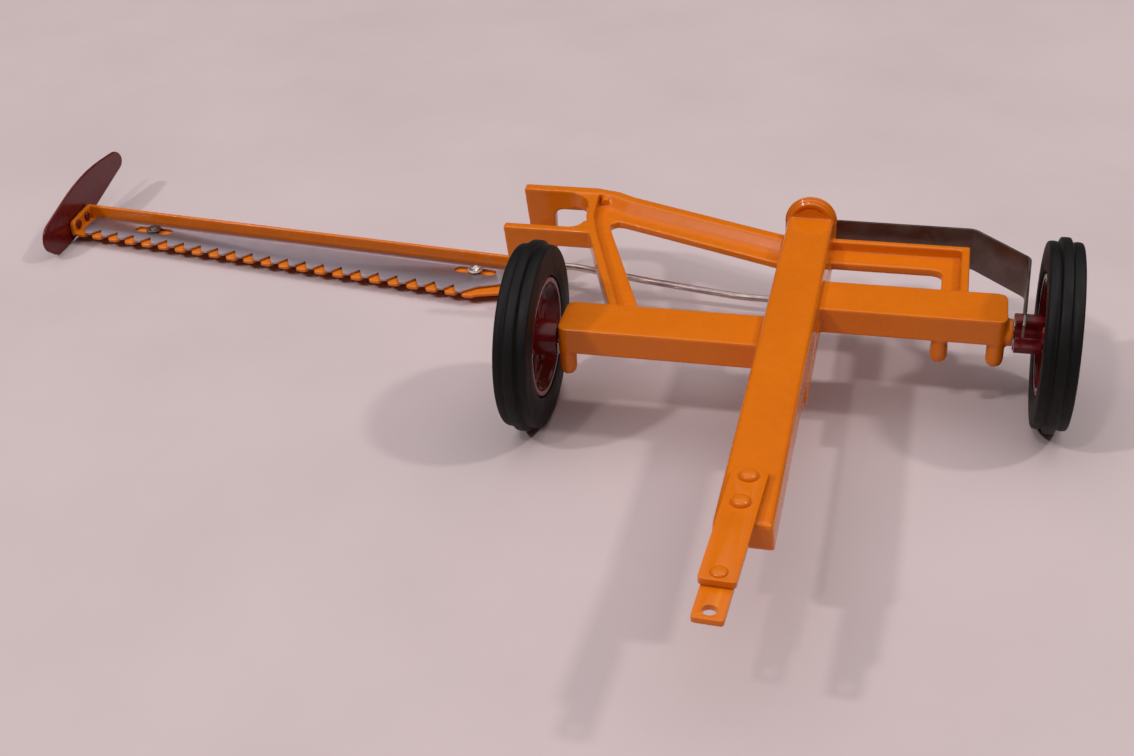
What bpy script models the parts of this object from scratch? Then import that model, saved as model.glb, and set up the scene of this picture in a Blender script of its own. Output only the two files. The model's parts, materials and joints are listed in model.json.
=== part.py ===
"""Cast-metal scale model of a pull-type sickle-bar mower, built at its real size.

The model is laid out with +X to its right, +Y to the rear and +Z up. Until the last step the
left wheel stands over the origin; the last step moves everything so that the origin lies on the
floor under the middle of the whole model.
"""
import math

import bmesh
import bpy
from mathutils import Matrix, Vector

MM = 0.001

# Clearances
SEAT_GAP = 0.3 * MM          # between faces that touch on the real model
PIN_PLAY = 0.25 * MM         # radial play of a pin in its hole
SIDE_PLAY = 0.3 * MM         # axial play beside a part that turns or slides

# Wheels and axles
TYRE_RADIUS = 28.5 * MM
TYRE_HALF_WIDTH = 5.0 * MM
TYRE_BORE_RADIUS = 18.2 * MM
RIB_HALF_WIDTH = 1.3 * MM
SHOULDER_DROP = 1.3 * MM
RIM_HALF_WIDTH = 4.4 * MM
RIM_WALL = 1.5 * MM
DISC_THICKNESS = 1.6 * MM
HUB_RADIUS = 5.2 * MM
BARREL_SLOPE = 2.2 * MM      # how much narrower the rim's inside gets towards the web
HUB_OUTER_LENGTH = 3.2 * MM
AXLE_RADIUS = 1.6 * MM
AXLE_DEPTH = 12.0 * MM
AXLE_HEAD_RADIUS = 2.7 * MM
AXLE_HEAD_HEIGHT = 1.3 * MM
WASHER_THICKNESS = 0.6 * MM
AXLE_WASHER_RADIUS = 4.0 * MM
SPOKE_COUNT = 8
SPOKE_WIDTH = 1.6 * MM
SPOKE_HEIGHT = 1.1 * MM
RIGHT_WHEEL_X = 150.15 * MM
RIGHT_WHEEL_Y = 23.1 * MM

# Drive star on the right wheel
STAR_VANES = 4
STAR_RADIUS = 6.8 * MM
STAR_VANE = 2.6 * MM
STAR_CORE_RADIUS = 3.2 * MM
STAR_LENGTH = 7.8 * MM
STAR_TURN = 19.0             # degrees that the front vane hangs below level

# Frame casting
BEAM_TOP = 34.6 * MM
BEAM_HEIGHT = 8.2 * MM
BEAM_WIDTH = 16.8 * MM
BEAM_SETBACK = 3.3 * MM      # the beams' middle lies this far behind the axles
BEAM_CORNER = 2.6 * MM
LEFT_BEAM_END = 8.6 * MM
RIGHT_BEAM_END = 136.2 * MM
END_BOSS_RADIUS = 4.1 * MM
END_BOSS_LENGTH = 1.8 * MM
PEG_RADIUS = 2.6 * MM
PEG_DROP = 8.3 * MM          # how far a peg hangs below the beams
PEG_INSET = 0.1 * MM         # from the beam's faces to a peg's side
INNER_PEG_X = 117.6 * MM
SKIRT_PEG_OFFSET = (4.4 * MM, 3.0 * MM)
WALL = 2.2 * MM              # wall of the hollow underside
TONGUE_X = 74.9 * MM
TONGUE_WIDTH = 14.4 * MM
TONGUE_TOP = 38.0 * MM
TONGUE_DEPTH = 8.0 * MM
TONGUE_FRONT = -90.5 * MM
TONGUE_REAR = 68.4 * MM
SKIRT_FRONT = -17.0 * MM
SKIRT_DEPTH = 14.0 * MM
TONGUE_FILLET = 1.5 * MM
TONGUE_FLARE = 0.9 * MM      # how much wider each side stands at the skirt's foot
TONGUE_NOSE = 1.2 * MM       # rounding of the front end's edges

# Rear boss that carries the rocker
BOSS_RADIUS = 8.2 * MM
BOSS_HEIGHT = 36.4 * MM
BOSS_STEPS = 3
BOSS_STEP_LENGTH = 0.7 * MM
BOSS_STEP_RISE = 0.75 * MM
BOSS_REAR = 71.0 * MM
BOSS_FOOT = 21.5 * MM

# Rear rails
RAIL_HEIGHT = 6.2 * MM
RAIL_WEB = 2.8 * MM
RIB_WIDTH = 2.6 * MM
RIGHT_RAIL_REAR = 63.2 * MM
RIGHT_RAIL_END = 124.9 * MM
RIGHT_WEB_WIDTH = 7.8 * MM
SIDE_WEB_WIDTH = 5.4 * MM
LEFT_RIB_WIDTH = 3.8 * MM
LEFT_RAIL_WIDTH = 12.6 * MM
LEFT_WALL_FOOT = 7.2 * MM    # where the sloping inner wall of the left rail meets its web
SHORT_RIB_WIDTH = 2.6 * MM
SHORT_RAIL_REAR_X = -0.6 * MM
SHORT_RAIL_BENDS = ((1.0 * MM, 69.0 * MM), (4.4 * MM, 57.5 * MM))
SHORT_RAIL_END_X = 21.6 * MM
RAIL_BEND = (15.0 * MM, 83.3 * MM)
RAIL_EASE = (9.0 * MM, 86.7 * MM)
RAIL_JOINS_ARM_X = 3.0 * MM
RAIL_END_X = -6.0 * MM
RAIL_MEETS_BOSS = (74.0 * MM, 60.8 * MM)
WINDOW_REAR = (7.0 * MM, 73.5 * MM)
WINDOW_LEFT = (31.6 * MM, 9.5 * MM)
WINDOW_RIGHT = (70.0 * MM, 51.5 * MM)
WINDOW_CORNER = 3.4 * MM
RIGHT_WINDOW_CORNER = 3.0 * MM

# Fork for the cutter bar
FORK_TIP_X = -24.2 * MM
FORK_ROOT_X = 1.0 * MM
FRONT_FORK_FILLET = 5.0 * MM # in the inner corners of the fork
REAR_FORK_FILLET = 8.5 * MM
FRONT_ARM_Y = 56.4 * MM
FRONT_ARM_THICKNESS = 3.2 * MM
REAR_ARM_Y = 88.2 * MM
REAR_ARM_THICKNESS = 4.0 * MM
FRONT_ARM_ROOT = 6.0 * MM
REAR_ARM_ROOT = 2.0 * MM
EAR_WIDTH = 10.4 * MM
EAR_SHOULDER = 4.0 * MM
EAR_FILLET = 3.0 * MM
EAR_TIP_RADIUS = 4.3 * MM
HINGE_X = -18.0 * MM
HINGE_Z = 13.0 * MM
HINGE_PIN_RADIUS = 1.4 * MM
HINGE_HEAD_RADIUS = 2.3 * MM
HINGE_HEAD_HEIGHT = 1.0 * MM

# Cutter bar, measured along its rear face from the hinge outwards
BAR_SWEEP = 5.56             # degrees that the bar leans back
BAR_REAR_Y = 81.3 * MM       # its rear face where the hinge crosses it
BAR_LENGTH = 186.48 * MM     # its outer end is cut square to the machine, not to the bar
BAR_INNER_LENGTH = 4.0 * MM
BAR_WIDTH = 23.2 * MM
BAR_TAPER = 0.0445           # loss of width for each unit of length
BAR_FLOOR_GAP = 3.0 * MM
BAR_THICKNESS = 1.3 * MM
FLANGE_THICKNESS = 1.6 * MM
FLANGE_HEIGHT = 5.1 * MM     # above the bar plate
END_WALL_THICKNESS = 1.6 * MM
END_WALL_HEIGHT = 4.2 * MM
END_WALL_ROUND = 2.0 * MM
LOBE_PITCH = 7.34 * MM
LOBE_WIDTH = 5.3 * MM
LOBE_REACH = 2.6 * MM
FIRST_LOBE = 27.1 * MM
SHOE_LOBE = 20.6 * MM        # the hooked lobe that ends the bar's shoe
SHOE_NECK = (17.4 * MM, 20.7 * MM)
SHOE_HEEL = (9.9 * MM, 17.75 * MM)
PAD_LENGTH = 18.0 * MM       # the pad under the shoe that slides on the floor
PAD_DEPTH = 6.0 * MM
PAD_INSET = 3.0 * MM         # behind the shoe's heel
EYE_WIDTH = 2.8 * MM
EYE_RADIUS = 3.6 * MM

# Knife
KNIFE_THICKNESS = 0.8 * MM
TOOTH_INSET = 0.2 * MM       # the tooth tips stay this far behind the lobe tips
TOOTH_DEPTH = 4.2 * MM
TOOTH_LAND = 2.0 * MM
KNIFE_INNER_END = -1.5 * MM
KNIFE_NECK = (18.5 * MM, 17.5 * MM)
KNIFE_SHOULDER = (11.2 * MM, 13.7 * MM)
KNIFE_HEEL_WIDTH = 10.6 * MM
SLOT_LENGTH = 15.6 * MM
SLOT_WIDTH = 4.2 * MM
SLOT_INSET = 7.1 * MM        # from the bar's rear face to the slots' middle line
INNER_SLOT = 23.2 * MM
OUTER_SLOT_FROM_END = 33.0 * MM
KNIFE_OUTER_GAP = 5.1 * MM   # room for the stroke before the end wall
TAIL_RADIUS = 3.3 * MM
TAIL_THICKNESS = 1.0 * MM
TAIL_Y = 71.8 * MM
STROKE = 1.5 * MM            # the tail's hole slopes by this much each way
HOLE_BULGE = 0.45 * MM       # extra room for the arc that the wire follows when the bar folds
RIVET_RADIUS = 1.1 * MM
INNER_HEAD_RADIUS = 2.3 * MM
INNER_HEAD_HEIGHT = 1.2 * MM
OUTER_HEAD_RADIUS = 1.9 * MM
OUTER_HEAD_HEIGHT = 0.5 * MM
KNIFE_WASHER_RADIUS = 2.8 * MM
KNIFE_WASHER_THICKNESS = 0.4 * MM

# Swath board
BOARD_THICKNESS = 1.0 * MM
BOARD_FRONT_Y = 67.2 * MM
BOARD_FLOOR_GAP = 0.15 * MM
BOARD_NOSE_LOW = 5.6 * MM
BOARD_NOSE_HIGH = 12.6 * MM
BOARD_NOSE_RADIUS = 6.0 * MM
BOARD_SOLE = (6.6 * MM, 18.8 * MM)    # where its straight sole starts and ends, behind the front
BOARD_BELLY_RADIUS = 60.0 * MM
BOARD_BACK = (33.8 * MM, 21.3 * MM, 90.0 * MM)    # distance, height and rounding of its back
BOARD_TAIL_LOW = (65.4 * MM, 12.0 * MM, 3.0 * MM)
BOARD_TAIL_HIGH = (61.3 * MM, 18.6 * MM, 7.0 * MM)
BOARD_RIVETS = (3.4 * MM, 10.0 * MM)  # behind the bar's front edge
BOARD_RIVET_RADIUS = 0.9 * MM
BOARD_HEAD_RADIUS = 1.7 * MM
BOARD_HEAD_HEIGHT = 0.8 * MM

# Rocker, cut from flat strip and folded twice
ROCKER_THICKNESS = 0.8 * MM
ROCKER_TOP = 36.9 * MM
ROCKER_FOOT = 23.0 * MM
ROCKER_SAG = 0.6 * MM        # how much lower the strip lies between the boss and its first fold
ROCKER_LOBE = 3.2 * MM
ROCKER_PIN_RADIUS = 1.4 * MM
ROCKER_FOLD_X = 125.9 * MM
ROCKER_FINGER_X = 142.6 * MM
ROCKER_FINGER_Y = 54.4 * MM
ROCKER_TIP_X = 140.4 * MM
ROCKER_TIP_Y = 15.6 * MM
ROCKER_HOOK_DROP = 4.4 * MM  # how far the tip hooks down in front of the drive star
ROCKER_HOOK_WIDTH = 0.8 * MM
ARM_SHOULDER = (3.2 * MM, 15.0 * MM)
ARM_EYE_RADIUS = 3.0 * MM
STAR_ROOM = 0.5 * MM         # between the drive star's vanes and the strip above them
ARM_HOLE_X = 77.0 * MM
ARM_HOLE_Z = 7.0 * MM

# Pitman wire
WIRE_RADIUS = 0.95 * MM
WIRE_LEFT_Y = 70.2 * MM
WIRE_RIGHT_Y = 68.5 * MM
WIRE_BEND = 2.0 * MM

# Hitch, which stands a little askew on the tongue
HITCH_REAR = (74.4 * MM, -71.0 * MM)
HITCH_TURN = 2.7             # degrees
STRAP_LENGTH = 43.6 * MM
STRAP_WIDTH = 9.0 * MM
STRAP_THICKNESS = 1.8 * MM
TAB_WIDTH = 7.6 * MM
TAB_THICKNESS = 1.6 * MM
TAB_START = 21.6 * MM        # from the strap's rear end, just ahead of the tongue
TAB_LENGTH = 32.8 * MM
TAB_HOLE = 51.2 * MM         # also measured from the strap's rear end
TAB_HOLE_RADIUS = 1.75 * MM
STRAP_RIVETS = (3.6 * MM, 14.2 * MM)
TAB_RIVET = 40.6 * MM
HITCH_RIVET_RADIUS = 1.3 * MM
HITCH_HEAD_RADIUS = 2.5 * MM
HITCH_HEAD_HEIGHT = 1.1 * MM
TAB_HEAD_RADIUS = 2.1 * MM
TAB_HEAD_HEIGHT = 0.5 * MM

WHEEL_ROUND = 36             # facets of a wheel
ROUND = 24                   # facets of a hub or a boss
SMALL_ROUND = 16             # facets of a pin or a rivet
STEP = 0.1 * MM              # cast members that meet differ in height by this much


def clear_scene():
    for old in list(bpy.data.objects):
        bpy.data.objects.remove(old, do_unlink=True)


def material(name, colour, roughness, metallic=0.0):
    finish = bpy.data.materials.new(name)
    finish.use_nodes = True
    shader = finish.node_tree.nodes["Principled BSDF"]
    shader.inputs["Base Color"].default_value = (*colour, 1.0)
    shader.inputs["Roughness"].default_value = roughness
    shader.inputs["Metallic"].default_value = metallic
    finish.diffuse_color = (*colour, 1.0)
    return finish


def empty(name, place):
    """An empty on a joint's axis, which the joint's moving pieces hang from."""
    pivot = bpy.data.objects.new(name, None)
    pivot.location = place
    pivot.empty_display_size = 5 * MM
    bpy.context.collection.objects.link(pivot)
    return pivot


def add_object(name, data, finish=None, pivot=None, smooth_angle=35.0):
    """Links an object whose data is written in the model's own frame."""
    item = bpy.data.objects.new(name, data)
    bpy.context.collection.objects.link(item)
    if finish:
        data.materials.append(finish)
    if pivot:
        item.parent = pivot
        item.matrix_parent_inverse = Matrix.Translation(pivot.location).inverted()
    if smooth_angle and hasattr(data, "shade_smooth"):
        data.shade_smooth()
        data.set_sharp_from_angle(angle=math.radians(smooth_angle))
    return item


def finish_mesh(name, shape, finish=None, pivot=None, smooth_angle=35.0):
    bmesh.ops.recalc_face_normals(shape, faces=shape.faces)
    if shape.calc_volume(signed=True) < 0:
        bmesh.ops.reverse_faces(shape, faces=shape.faces)
    mesh = bpy.data.meshes.new(name)
    shape.to_mesh(mesh)
    shape.free()
    return add_object(name, mesh, finish, pivot, smooth_angle)


def arc(centre, radius, start, end, steps):
    """Points on an arc, with both ends, angles in degrees."""
    points = []
    for step in range(steps + 1):
        angle = math.radians(start + (end - start) * step / steps)
        points.append((centre[0] + radius * math.cos(angle), centre[1] + radius * math.sin(angle)))
    return points


def rounded(corners, steps=4):
    """A closed outline from (a, b, radius) corners, each rounded by an arc."""
    outline = []
    count = len(corners)
    for index, (a, b, radius) in enumerate(corners):
        here = Vector((a, b))
        back = Vector(corners[index - 1][:2]) - here
        ahead = Vector(corners[(index + 1) % count][:2]) - here
        if radius <= 0:
            outline.append((a, b))
            continue
        half = back.angle(ahead) / 2
        reach = radius / math.tan(half)
        centre = here + (back.normalized() + ahead.normalized()).normalized() * radius / math.sin(half)
        first = here + back.normalized() * reach - centre
        last = here + ahead.normalized() * reach - centre
        turn = math.atan2(first.x * last.y - first.y * last.x, first.dot(last))
        start = math.atan2(first.y, first.x)
        for step in range(steps + 1):
            angle = start + turn * step / steps
            outline.append((centre.x + radius * math.cos(angle), centre.y + radius * math.sin(angle)))
    return outline


def box_outline(low, high, radius=0.0):
    return rounded([(low[0], low[1], radius), (high[0], low[1], radius),
                    (high[0], high[1], radius), (low[0], high[1], radius)])


def along(axis, a, b, height):
    """A point of an outline (a, b) pushed out to height along an axis."""
    if axis == "X":
        return Vector((height, a, b))
    if axis == "Y":
        return Vector((a, height, b))
    return Vector((a, b, height))


def prism(outline, low, high, axis="Z"):
    """A straight solid between two heights over an outline."""
    shape = bmesh.new()
    lower = [shape.verts.new(along(axis, a, b, low)) for a, b in outline]
    upper = [shape.verts.new(along(axis, a, b, high)) for a, b in outline]
    shape.faces.new(lower)
    shape.faces.new(upper)
    count = len(outline)
    for index in range(count):
        ahead = (index + 1) % count
        shape.faces.new((lower[index], lower[ahead], upper[ahead], upper[index]))
    return shape


def loft(lower, upper, low, high):
    """A solid between two outlines with as many points each."""
    shape = prism(lower, low, high)
    count = len(lower)
    for corner, spot in zip(list(shape.verts)[count:], upper):
        corner.co.xy = spot
    return shape


def turned(profile, axis, centre, segments=ROUND, start=0.0):
    """A solid of revolution from (radius, height) points, with heights along the axis.

    A profile that starts and ends on the axis closes there, flat or pointed. Any other one is a
    closed ring round the axis.
    """
    shape = bmesh.new()
    rings = []
    for radius, height in profile:
        ring = []
        for step in range(segments if radius > 0 else 1):
            angle = start + 2 * math.pi * step / segments
            a = centre[0] + radius * math.cos(angle)
            b = centre[1] + radius * math.sin(angle)
            ring.append(shape.verts.new(along(axis, a, b, height)))
        rings.append(ring)
    if profile[0][0] > 0:
        rings.append(rings[0])
    for lower, upper in zip(rings, rings[1:]):
        for step in range(segments):
            ahead = (step + 1) % segments
            corners = [lower[step % len(lower)], lower[ahead % len(lower)],
                       upper[ahead % len(upper)], upper[step % len(upper)]]
            shape.faces.new(list(dict.fromkeys(corners)))
    flat = [ring[0] for ring, near, far in (
        (rings[0], profile[0], profile[1]), (rings[-1], profile[-1], profile[-2]))
        if len(ring) == 1 and near[1] == far[1]]
    bmesh.ops.dissolve_verts(shape, verts=flat)
    return shape


def rod(radius, low, high, axis, centre, segments=SMALL_ROUND):
    return turned([(0, low), (radius, low), (radius, high), (0, high)], axis, centre, segments)


def washer(radius, hole, low, high, axis, centre, segments=SMALL_ROUND):
    return turned([(hole, low), (radius, low), (radius, high), (hole, high)], axis, centre, segments)


def dome(radius, height, base, direction, steps=3):
    """Profile points of a domed head that rises from base, in the given direction."""
    points = []
    for step in range(steps + 1):
        angle = math.radians(90.0 * step / steps)
        points.append((radius * math.cos(angle), base + direction * height * math.sin(angle)))
    points[-1] = (0, base + direction * height)
    return points


def headed_pin(radius, head_radius, head_height, tail, shoulder, axis, centre):
    """A plain pin from tail to shoulder, with a domed head beyond the shoulder."""
    direction = 1 if shoulder > tail else -1
    profile = [(0, tail), (radius, tail), (radius, shoulder)]
    profile += dome(head_radius, head_height, shoulder, direction)
    return turned(profile, axis, centre, SMALL_ROUND)


def two_headed(radius, head_radius, head_height, low, high, axis, centre):
    """A rivet with a domed head below low and another above high."""
    profile = list(reversed(dome(head_radius, head_height, low, -1)))
    profile += [(radius, low), (radius, high)] + dome(head_radius, head_height, high, 1)
    return turned(profile, axis, centre, SMALL_ROUND)


def guide(shape, name):
    """A hidden solid that others are cut or joined by."""
    tool = finish_mesh(name, shape, smooth_angle=0)
    tool.hide_render = True
    tool.display_type = "WIRE"
    return tool


def combine(item, shape, operation):
    tool = guide(shape, f"{item.name}_{operation.lower()}_{len(item.modifiers)}")
    change = item.modifiers.new(tool.name, "BOOLEAN")
    change.operation = operation
    change.solver = "EXACT"
    change.object = tool
    return tool


def cut(item, shape):
    return combine(item, shape, "DIFFERENCE")


def join(item, shape):
    return combine(item, shape, "UNION")


def bevel_where(shape, size, steps, test):
    """Rounds the edges whose two ends both pass the test."""
    edges = [edge for edge in shape.edges if all(test(corner.co) for corner in edge.verts)]
    bmesh.ops.bevel(shape, geom=edges, offset=size, segments=steps, profile=0.5, affect="EDGES")
    return shape


def offset_path(points, distance):
    """The path moved to its left by a distance, with mitred corners."""
    moved = []
    for index, point in enumerate(points):
        here = Vector(point)
        runs = []
        if index > 0:
            runs.append((here - Vector(points[index - 1])).normalized())
        if index < len(points) - 1:
            runs.append((Vector(points[index + 1]) - here).normalized())
        sides = [Vector((-run.y, run.x)) for run in runs]
        side = sum(sides, Vector((0, 0))).normalized()
        moved.append(tuple(here + side * distance / side.dot(sides[0])))
    return moved


def ribbon(points, near, far):
    """An outline that follows a path between two offsets to its left."""
    return offset_path(points, near) + list(reversed(offset_path(points, far)))


def capsule(start, end, radius, steps=8):
    """An outline round two points: a slot or a strap end."""
    run = Vector(end) - Vector(start)
    heading = math.degrees(math.atan2(run.y, run.x))
    outline = arc(end, radius, heading - 90, heading + 90, steps)
    return outline + arc(start, radius, heading + 90, heading + 270, steps)


# Frame casting

def beam_middle(axle_y):
    return axle_y + BEAM_SETBACK


def tongue_outline(depth):
    """The tongue's section seen from the front, with its long upper edges rounded."""
    half = TONGUE_WIDTH / 2
    flared = half + TONGUE_FLARE * depth / SKIRT_DEPTH
    foot = TONGUE_TOP - depth
    return rounded([(TONGUE_X - flared, foot, 0), (TONGUE_X + flared, foot, 0),
                    (TONGUE_X + half, TONGUE_TOP, TONGUE_FILLET),
                    (TONGUE_X - half, TONGUE_TOP, TONGUE_FILLET)], 3)


def skirt_outline():
    """The deeper rear part of the tongue, from inside the tongue down to the skirt's foot."""
    inner = TONGUE_WIDTH / 2 - WALL / 2
    outer = TONGUE_WIDTH / 2 + TONGUE_FLARE
    foot = TONGUE_TOP - SKIRT_DEPTH
    shoulder = TONGUE_TOP - TONGUE_DEPTH
    return [(TONGUE_X - outer, foot), (TONGUE_X + outer, foot),
            (TONGUE_X + outer - STEP, shoulder - STEP),
            (TONGUE_X + inner, shoulder + WALL), (TONGUE_X - inner, shoulder + WALL),
            (TONGUE_X - outer + STEP, shoulder - STEP)]


def tongue_shape():
    shape = prism(tongue_outline(TONGUE_DEPTH), TONGUE_FRONT, TONGUE_REAR + BOSS_STEP_LENGTH / 2, "Y")
    return bevel_where(shape, TONGUE_NOSE, 3, lambda spot: spot.y < TONGUE_FRONT + SEAT_GAP)


def tongue_hollow():
    """The open channel under the tongue's long front part, clear of the hitch rivets."""
    half = TONGUE_WIDTH / 2 - WALL
    outline = box_outline((TONGUE_X - half, TONGUE_TOP - 2 * SKIRT_DEPTH),
                          (TONGUE_X + half, TONGUE_TOP - WALL))
    return prism(outline, HITCH_REAR[1] + WALL, SKIRT_FRONT - WALL, "Y")


def beam_outline(inner, outer, axle_y):
    low = beam_middle(axle_y) - BEAM_WIDTH / 2
    high = beam_middle(axle_y) + BEAM_WIDTH / 2
    return rounded([(inner, low, 0), (outer, low, BEAM_CORNER),
                    (outer, high, BEAM_CORNER), (inner, high, 0)])


def beam_hollow(inner, outer, axle_y):
    """The open pocket under a beam, which stops before the axle's seat."""
    half = BEAM_WIDTH / 2 - WALL
    middle = beam_middle(axle_y)
    side = 1 if outer > inner else -1
    near = inner + side * WALL
    far = outer - side * (AXLE_DEPTH + WALL)
    return box_outline((min(near, far), middle - half), (max(near, far), middle + half), WALL / 2)


def peg_shape(x, y, top):
    """A round peg with a domed end that hangs from the casting."""
    profile = [(0, top), (PEG_RADIUS, top), (PEG_RADIUS, BEAM_TOP - BEAM_HEIGHT - PEG_DROP + PEG_RADIUS)]
    profile += dome(PEG_RADIUS, PEG_RADIUS, profile[-1][1], -1)[1:]
    return turned(profile, "Z", (x, y), SMALL_ROUND)


def boss_outline(radius, foot):
    """An arch: half a circle on two straight sides."""
    outline = arc((TONGUE_X, BOSS_HEIGHT), radius, 0, 180, 16)
    return outline + [(TONGUE_X - radius, foot), (TONGUE_X + radius, foot)]


def rocker_y():
    """The rocker's middle layer, just behind the boss."""
    return BOSS_REAR + SIDE_PLAY + ROCKER_THICKNESS / 2


def arm_outline(tip_x, root_x, top, height_at_root):
    """A fork arm seen from the front: a bar that deepens into an ear round the hinge pin."""
    under = top - height_at_root
    ear_right = tip_x + EAR_WIDTH
    ear = arc((HINGE_X, HINGE_Z), EAR_TIP_RADIUS, 190, 350, 10)
    shoulder = rounded([(HINGE_X + EAR_TIP_RADIUS, HINGE_Z, 0), (ear_right, under - EAR_SHOULDER, 0),
                        (ear_right, under, EAR_FILLET), (root_x, under, 0)], 5)
    return [(root_x, top), (tip_x, top)] + ear + shoulder[1:]


def short_rail_path():
    """The short rail's left edge, from the rear arm to the left beam."""
    rear = (SHORT_RAIL_REAR_X, REAR_ARM_Y - REAR_ARM_THICKNESS / 2)
    front = (SHORT_RAIL_END_X, beam_middle(0) + BEAM_WIDTH / 2 - WALL)
    return [rear, *SHORT_RAIL_BENDS, front]


def corner_fillet(corner, radius, start):
    """A web that rounds an inner corner of the casting; its free side is a quarter circle."""
    middle = math.radians(start + 45)
    reach = radius * math.sqrt(2)
    centre = (corner[0] - reach * math.cos(middle), corner[1] - reach * math.sin(middle))
    curve = arc(centre, radius, start, start + 90, 5)
    sunk = (WALL * math.sqrt(2) * math.cos(middle), WALL * math.sqrt(2) * math.sin(middle))
    first = (curve[-1][0], corner[1] + sunk[1]) if start % 180 == 0 else (corner[0] + sunk[0], curve[-1][1])
    last = (corner[0] + sunk[0], curve[0][1]) if start % 180 == 0 else (curve[0][0], corner[1] + sunk[1])
    return curve + [first, (corner[0] + sunk[0], corner[1] + sunk[1]), last]


def build_frame(paint):
    """The one-piece casting: tongue, staggered beams, rails, fork, boss and pegs."""
    casting = finish_mesh("frame_casting", tongue_shape(), paint)
    join(casting, prism(skirt_outline(), SKIRT_FRONT, TONGUE_REAR - STEP, "Y"))
    beam_foot = BEAM_TOP - BEAM_HEIGHT
    for outer, axle_y in ((LEFT_BEAM_END, 0.0), (RIGHT_BEAM_END, RIGHT_WHEEL_Y)):
        join(casting, prism(beam_outline(TONGUE_X, outer, axle_y), beam_foot, BEAM_TOP))
    join(casting, rod(END_BOSS_RADIUS, RIGHT_BEAM_END - 2 * WALL, RIGHT_BEAM_END + END_BOSS_LENGTH, "X",
                      (RIGHT_WHEEL_Y, TYRE_RADIUS)))

    rail_foot = BEAM_TOP - RAIL_HEIGHT
    web_foot = rail_foot + STEP
    web_top = rail_foot + RAIL_WEB
    left_path = [RAIL_MEETS_BOSS, RAIL_BEND, RAIL_EASE, (RAIL_JOINS_ARM_X, REAR_ARM_Y - STEP),
                 (RAIL_END_X, REAR_ARM_Y - STEP)]
    join(casting, prism(ribbon(left_path, 0, LEFT_RIB_WIDTH), rail_foot, BEAM_TOP - STEP))
    sunk = LEFT_RIB_WIDTH / 2
    join(casting, prism(ribbon(left_path[:3], sunk, LEFT_RAIL_WIDTH), web_foot + 4 * STEP, web_top + STEP))
    join(casting, loft(ribbon(left_path[:3], sunk, LEFT_WALL_FOOT),
                       ribbon(left_path[:3], sunk, LEFT_RIB_WIDTH + STEP),
                       web_top - 3 * STEP, BEAM_TOP - 2 * STEP))
    short_path = short_rail_path()
    join(casting, prism(ribbon(short_path, 0, SHORT_RIB_WIDTH), rail_foot - 2 * STEP, BEAM_TOP - 3 * STEP))
    near = offset_path(short_path, SHORT_RIB_WIDTH / 2)
    far = offset_path(left_path[:2], LEFT_RIB_WIDTH / 3)
    left_web = [(*spot, 0) for spot in far + near] + [
        (*WINDOW_LEFT, 0), (*WINDOW_REAR, WINDOW_CORNER), (*WINDOW_RIGHT, 0)]
    join(casting, prism(rounded(left_web, 6), web_foot + STEP, web_top))

    side_start = RIGHT_WHEEL_Y + BEAM_WIDTH / 2
    right_path = [(RIGHT_RAIL_END, side_start), (RIGHT_RAIL_END, RIGHT_RAIL_REAR),
                  (TONGUE_X, RIGHT_RAIL_REAR)]
    join(casting, prism(ribbon(right_path, 0, RIB_WIDTH), rail_foot, BEAM_TOP - STEP))
    rib_x = RIGHT_RAIL_END - RIB_WIDTH
    rib_y = RIGHT_RAIL_REAR - RIB_WIDTH
    web_end = TONGUE_X + WALL
    right_web = rounded([
        (rib_x + RIB_WIDTH / 2, side_start - WALL, 0), (rib_x + RIB_WIDTH / 2, rib_y + RIB_WIDTH / 2, 0),
        (web_end, rib_y + RIB_WIDTH / 2, 0), (web_end, rib_y - RIGHT_WEB_WIDTH, 0),
        (rib_x - SIDE_WEB_WIDTH, rib_y - RIGHT_WEB_WIDTH, RIGHT_WINDOW_CORNER),
        (rib_x - SIDE_WEB_WIDTH, side_start - WALL, 0)])
    join(casting, prism(right_web, web_foot, web_top))

    front_arm = arm_outline(FORK_TIP_X, FRONT_ARM_ROOT, BEAM_TOP - 3 * STEP, RAIL_HEIGHT)
    rear_arm = arm_outline(FORK_TIP_X, REAR_ARM_ROOT, BEAM_TOP, RAIL_HEIGHT + 10 * STEP)
    join(casting, prism(front_arm, FRONT_ARM_Y, FRONT_ARM_Y + FRONT_ARM_THICKNESS, "Y"))
    join(casting, prism(rear_arm, REAR_ARM_Y - REAR_ARM_THICKNESS, REAR_ARM_Y, "Y"))

    fork_top = BEAM_TOP - 4 * STEP
    front_corner = (FORK_ROOT_X + STEP, FRONT_ARM_Y + FRONT_ARM_THICKNESS)
    rear_corner = (SHORT_RAIL_REAR_X + 6 * STEP, REAR_ARM_Y - REAR_ARM_THICKNESS)
    for corner, radius, start in ((front_corner, FRONT_FORK_FILLET, 270),
                                  (rear_corner, REAR_FORK_FILLET, 0)):
        join(casting, prism(corner_fillet(corner, radius, start), rail_foot + 3 * STEP, fork_top))

    for step in range(BOSS_STEPS):
        rest = BOSS_STEPS - 1 - step
        front = TONGUE_REAR + BOSS_STEP_LENGTH * step
        arch = boss_outline(BOSS_RADIUS - BOSS_STEP_RISE * rest, BOSS_FOOT + 2 * STEP * rest)
        join(casting, prism(arch, front, BOSS_REAR - 2 * STEP * rest, "Y"))

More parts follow.
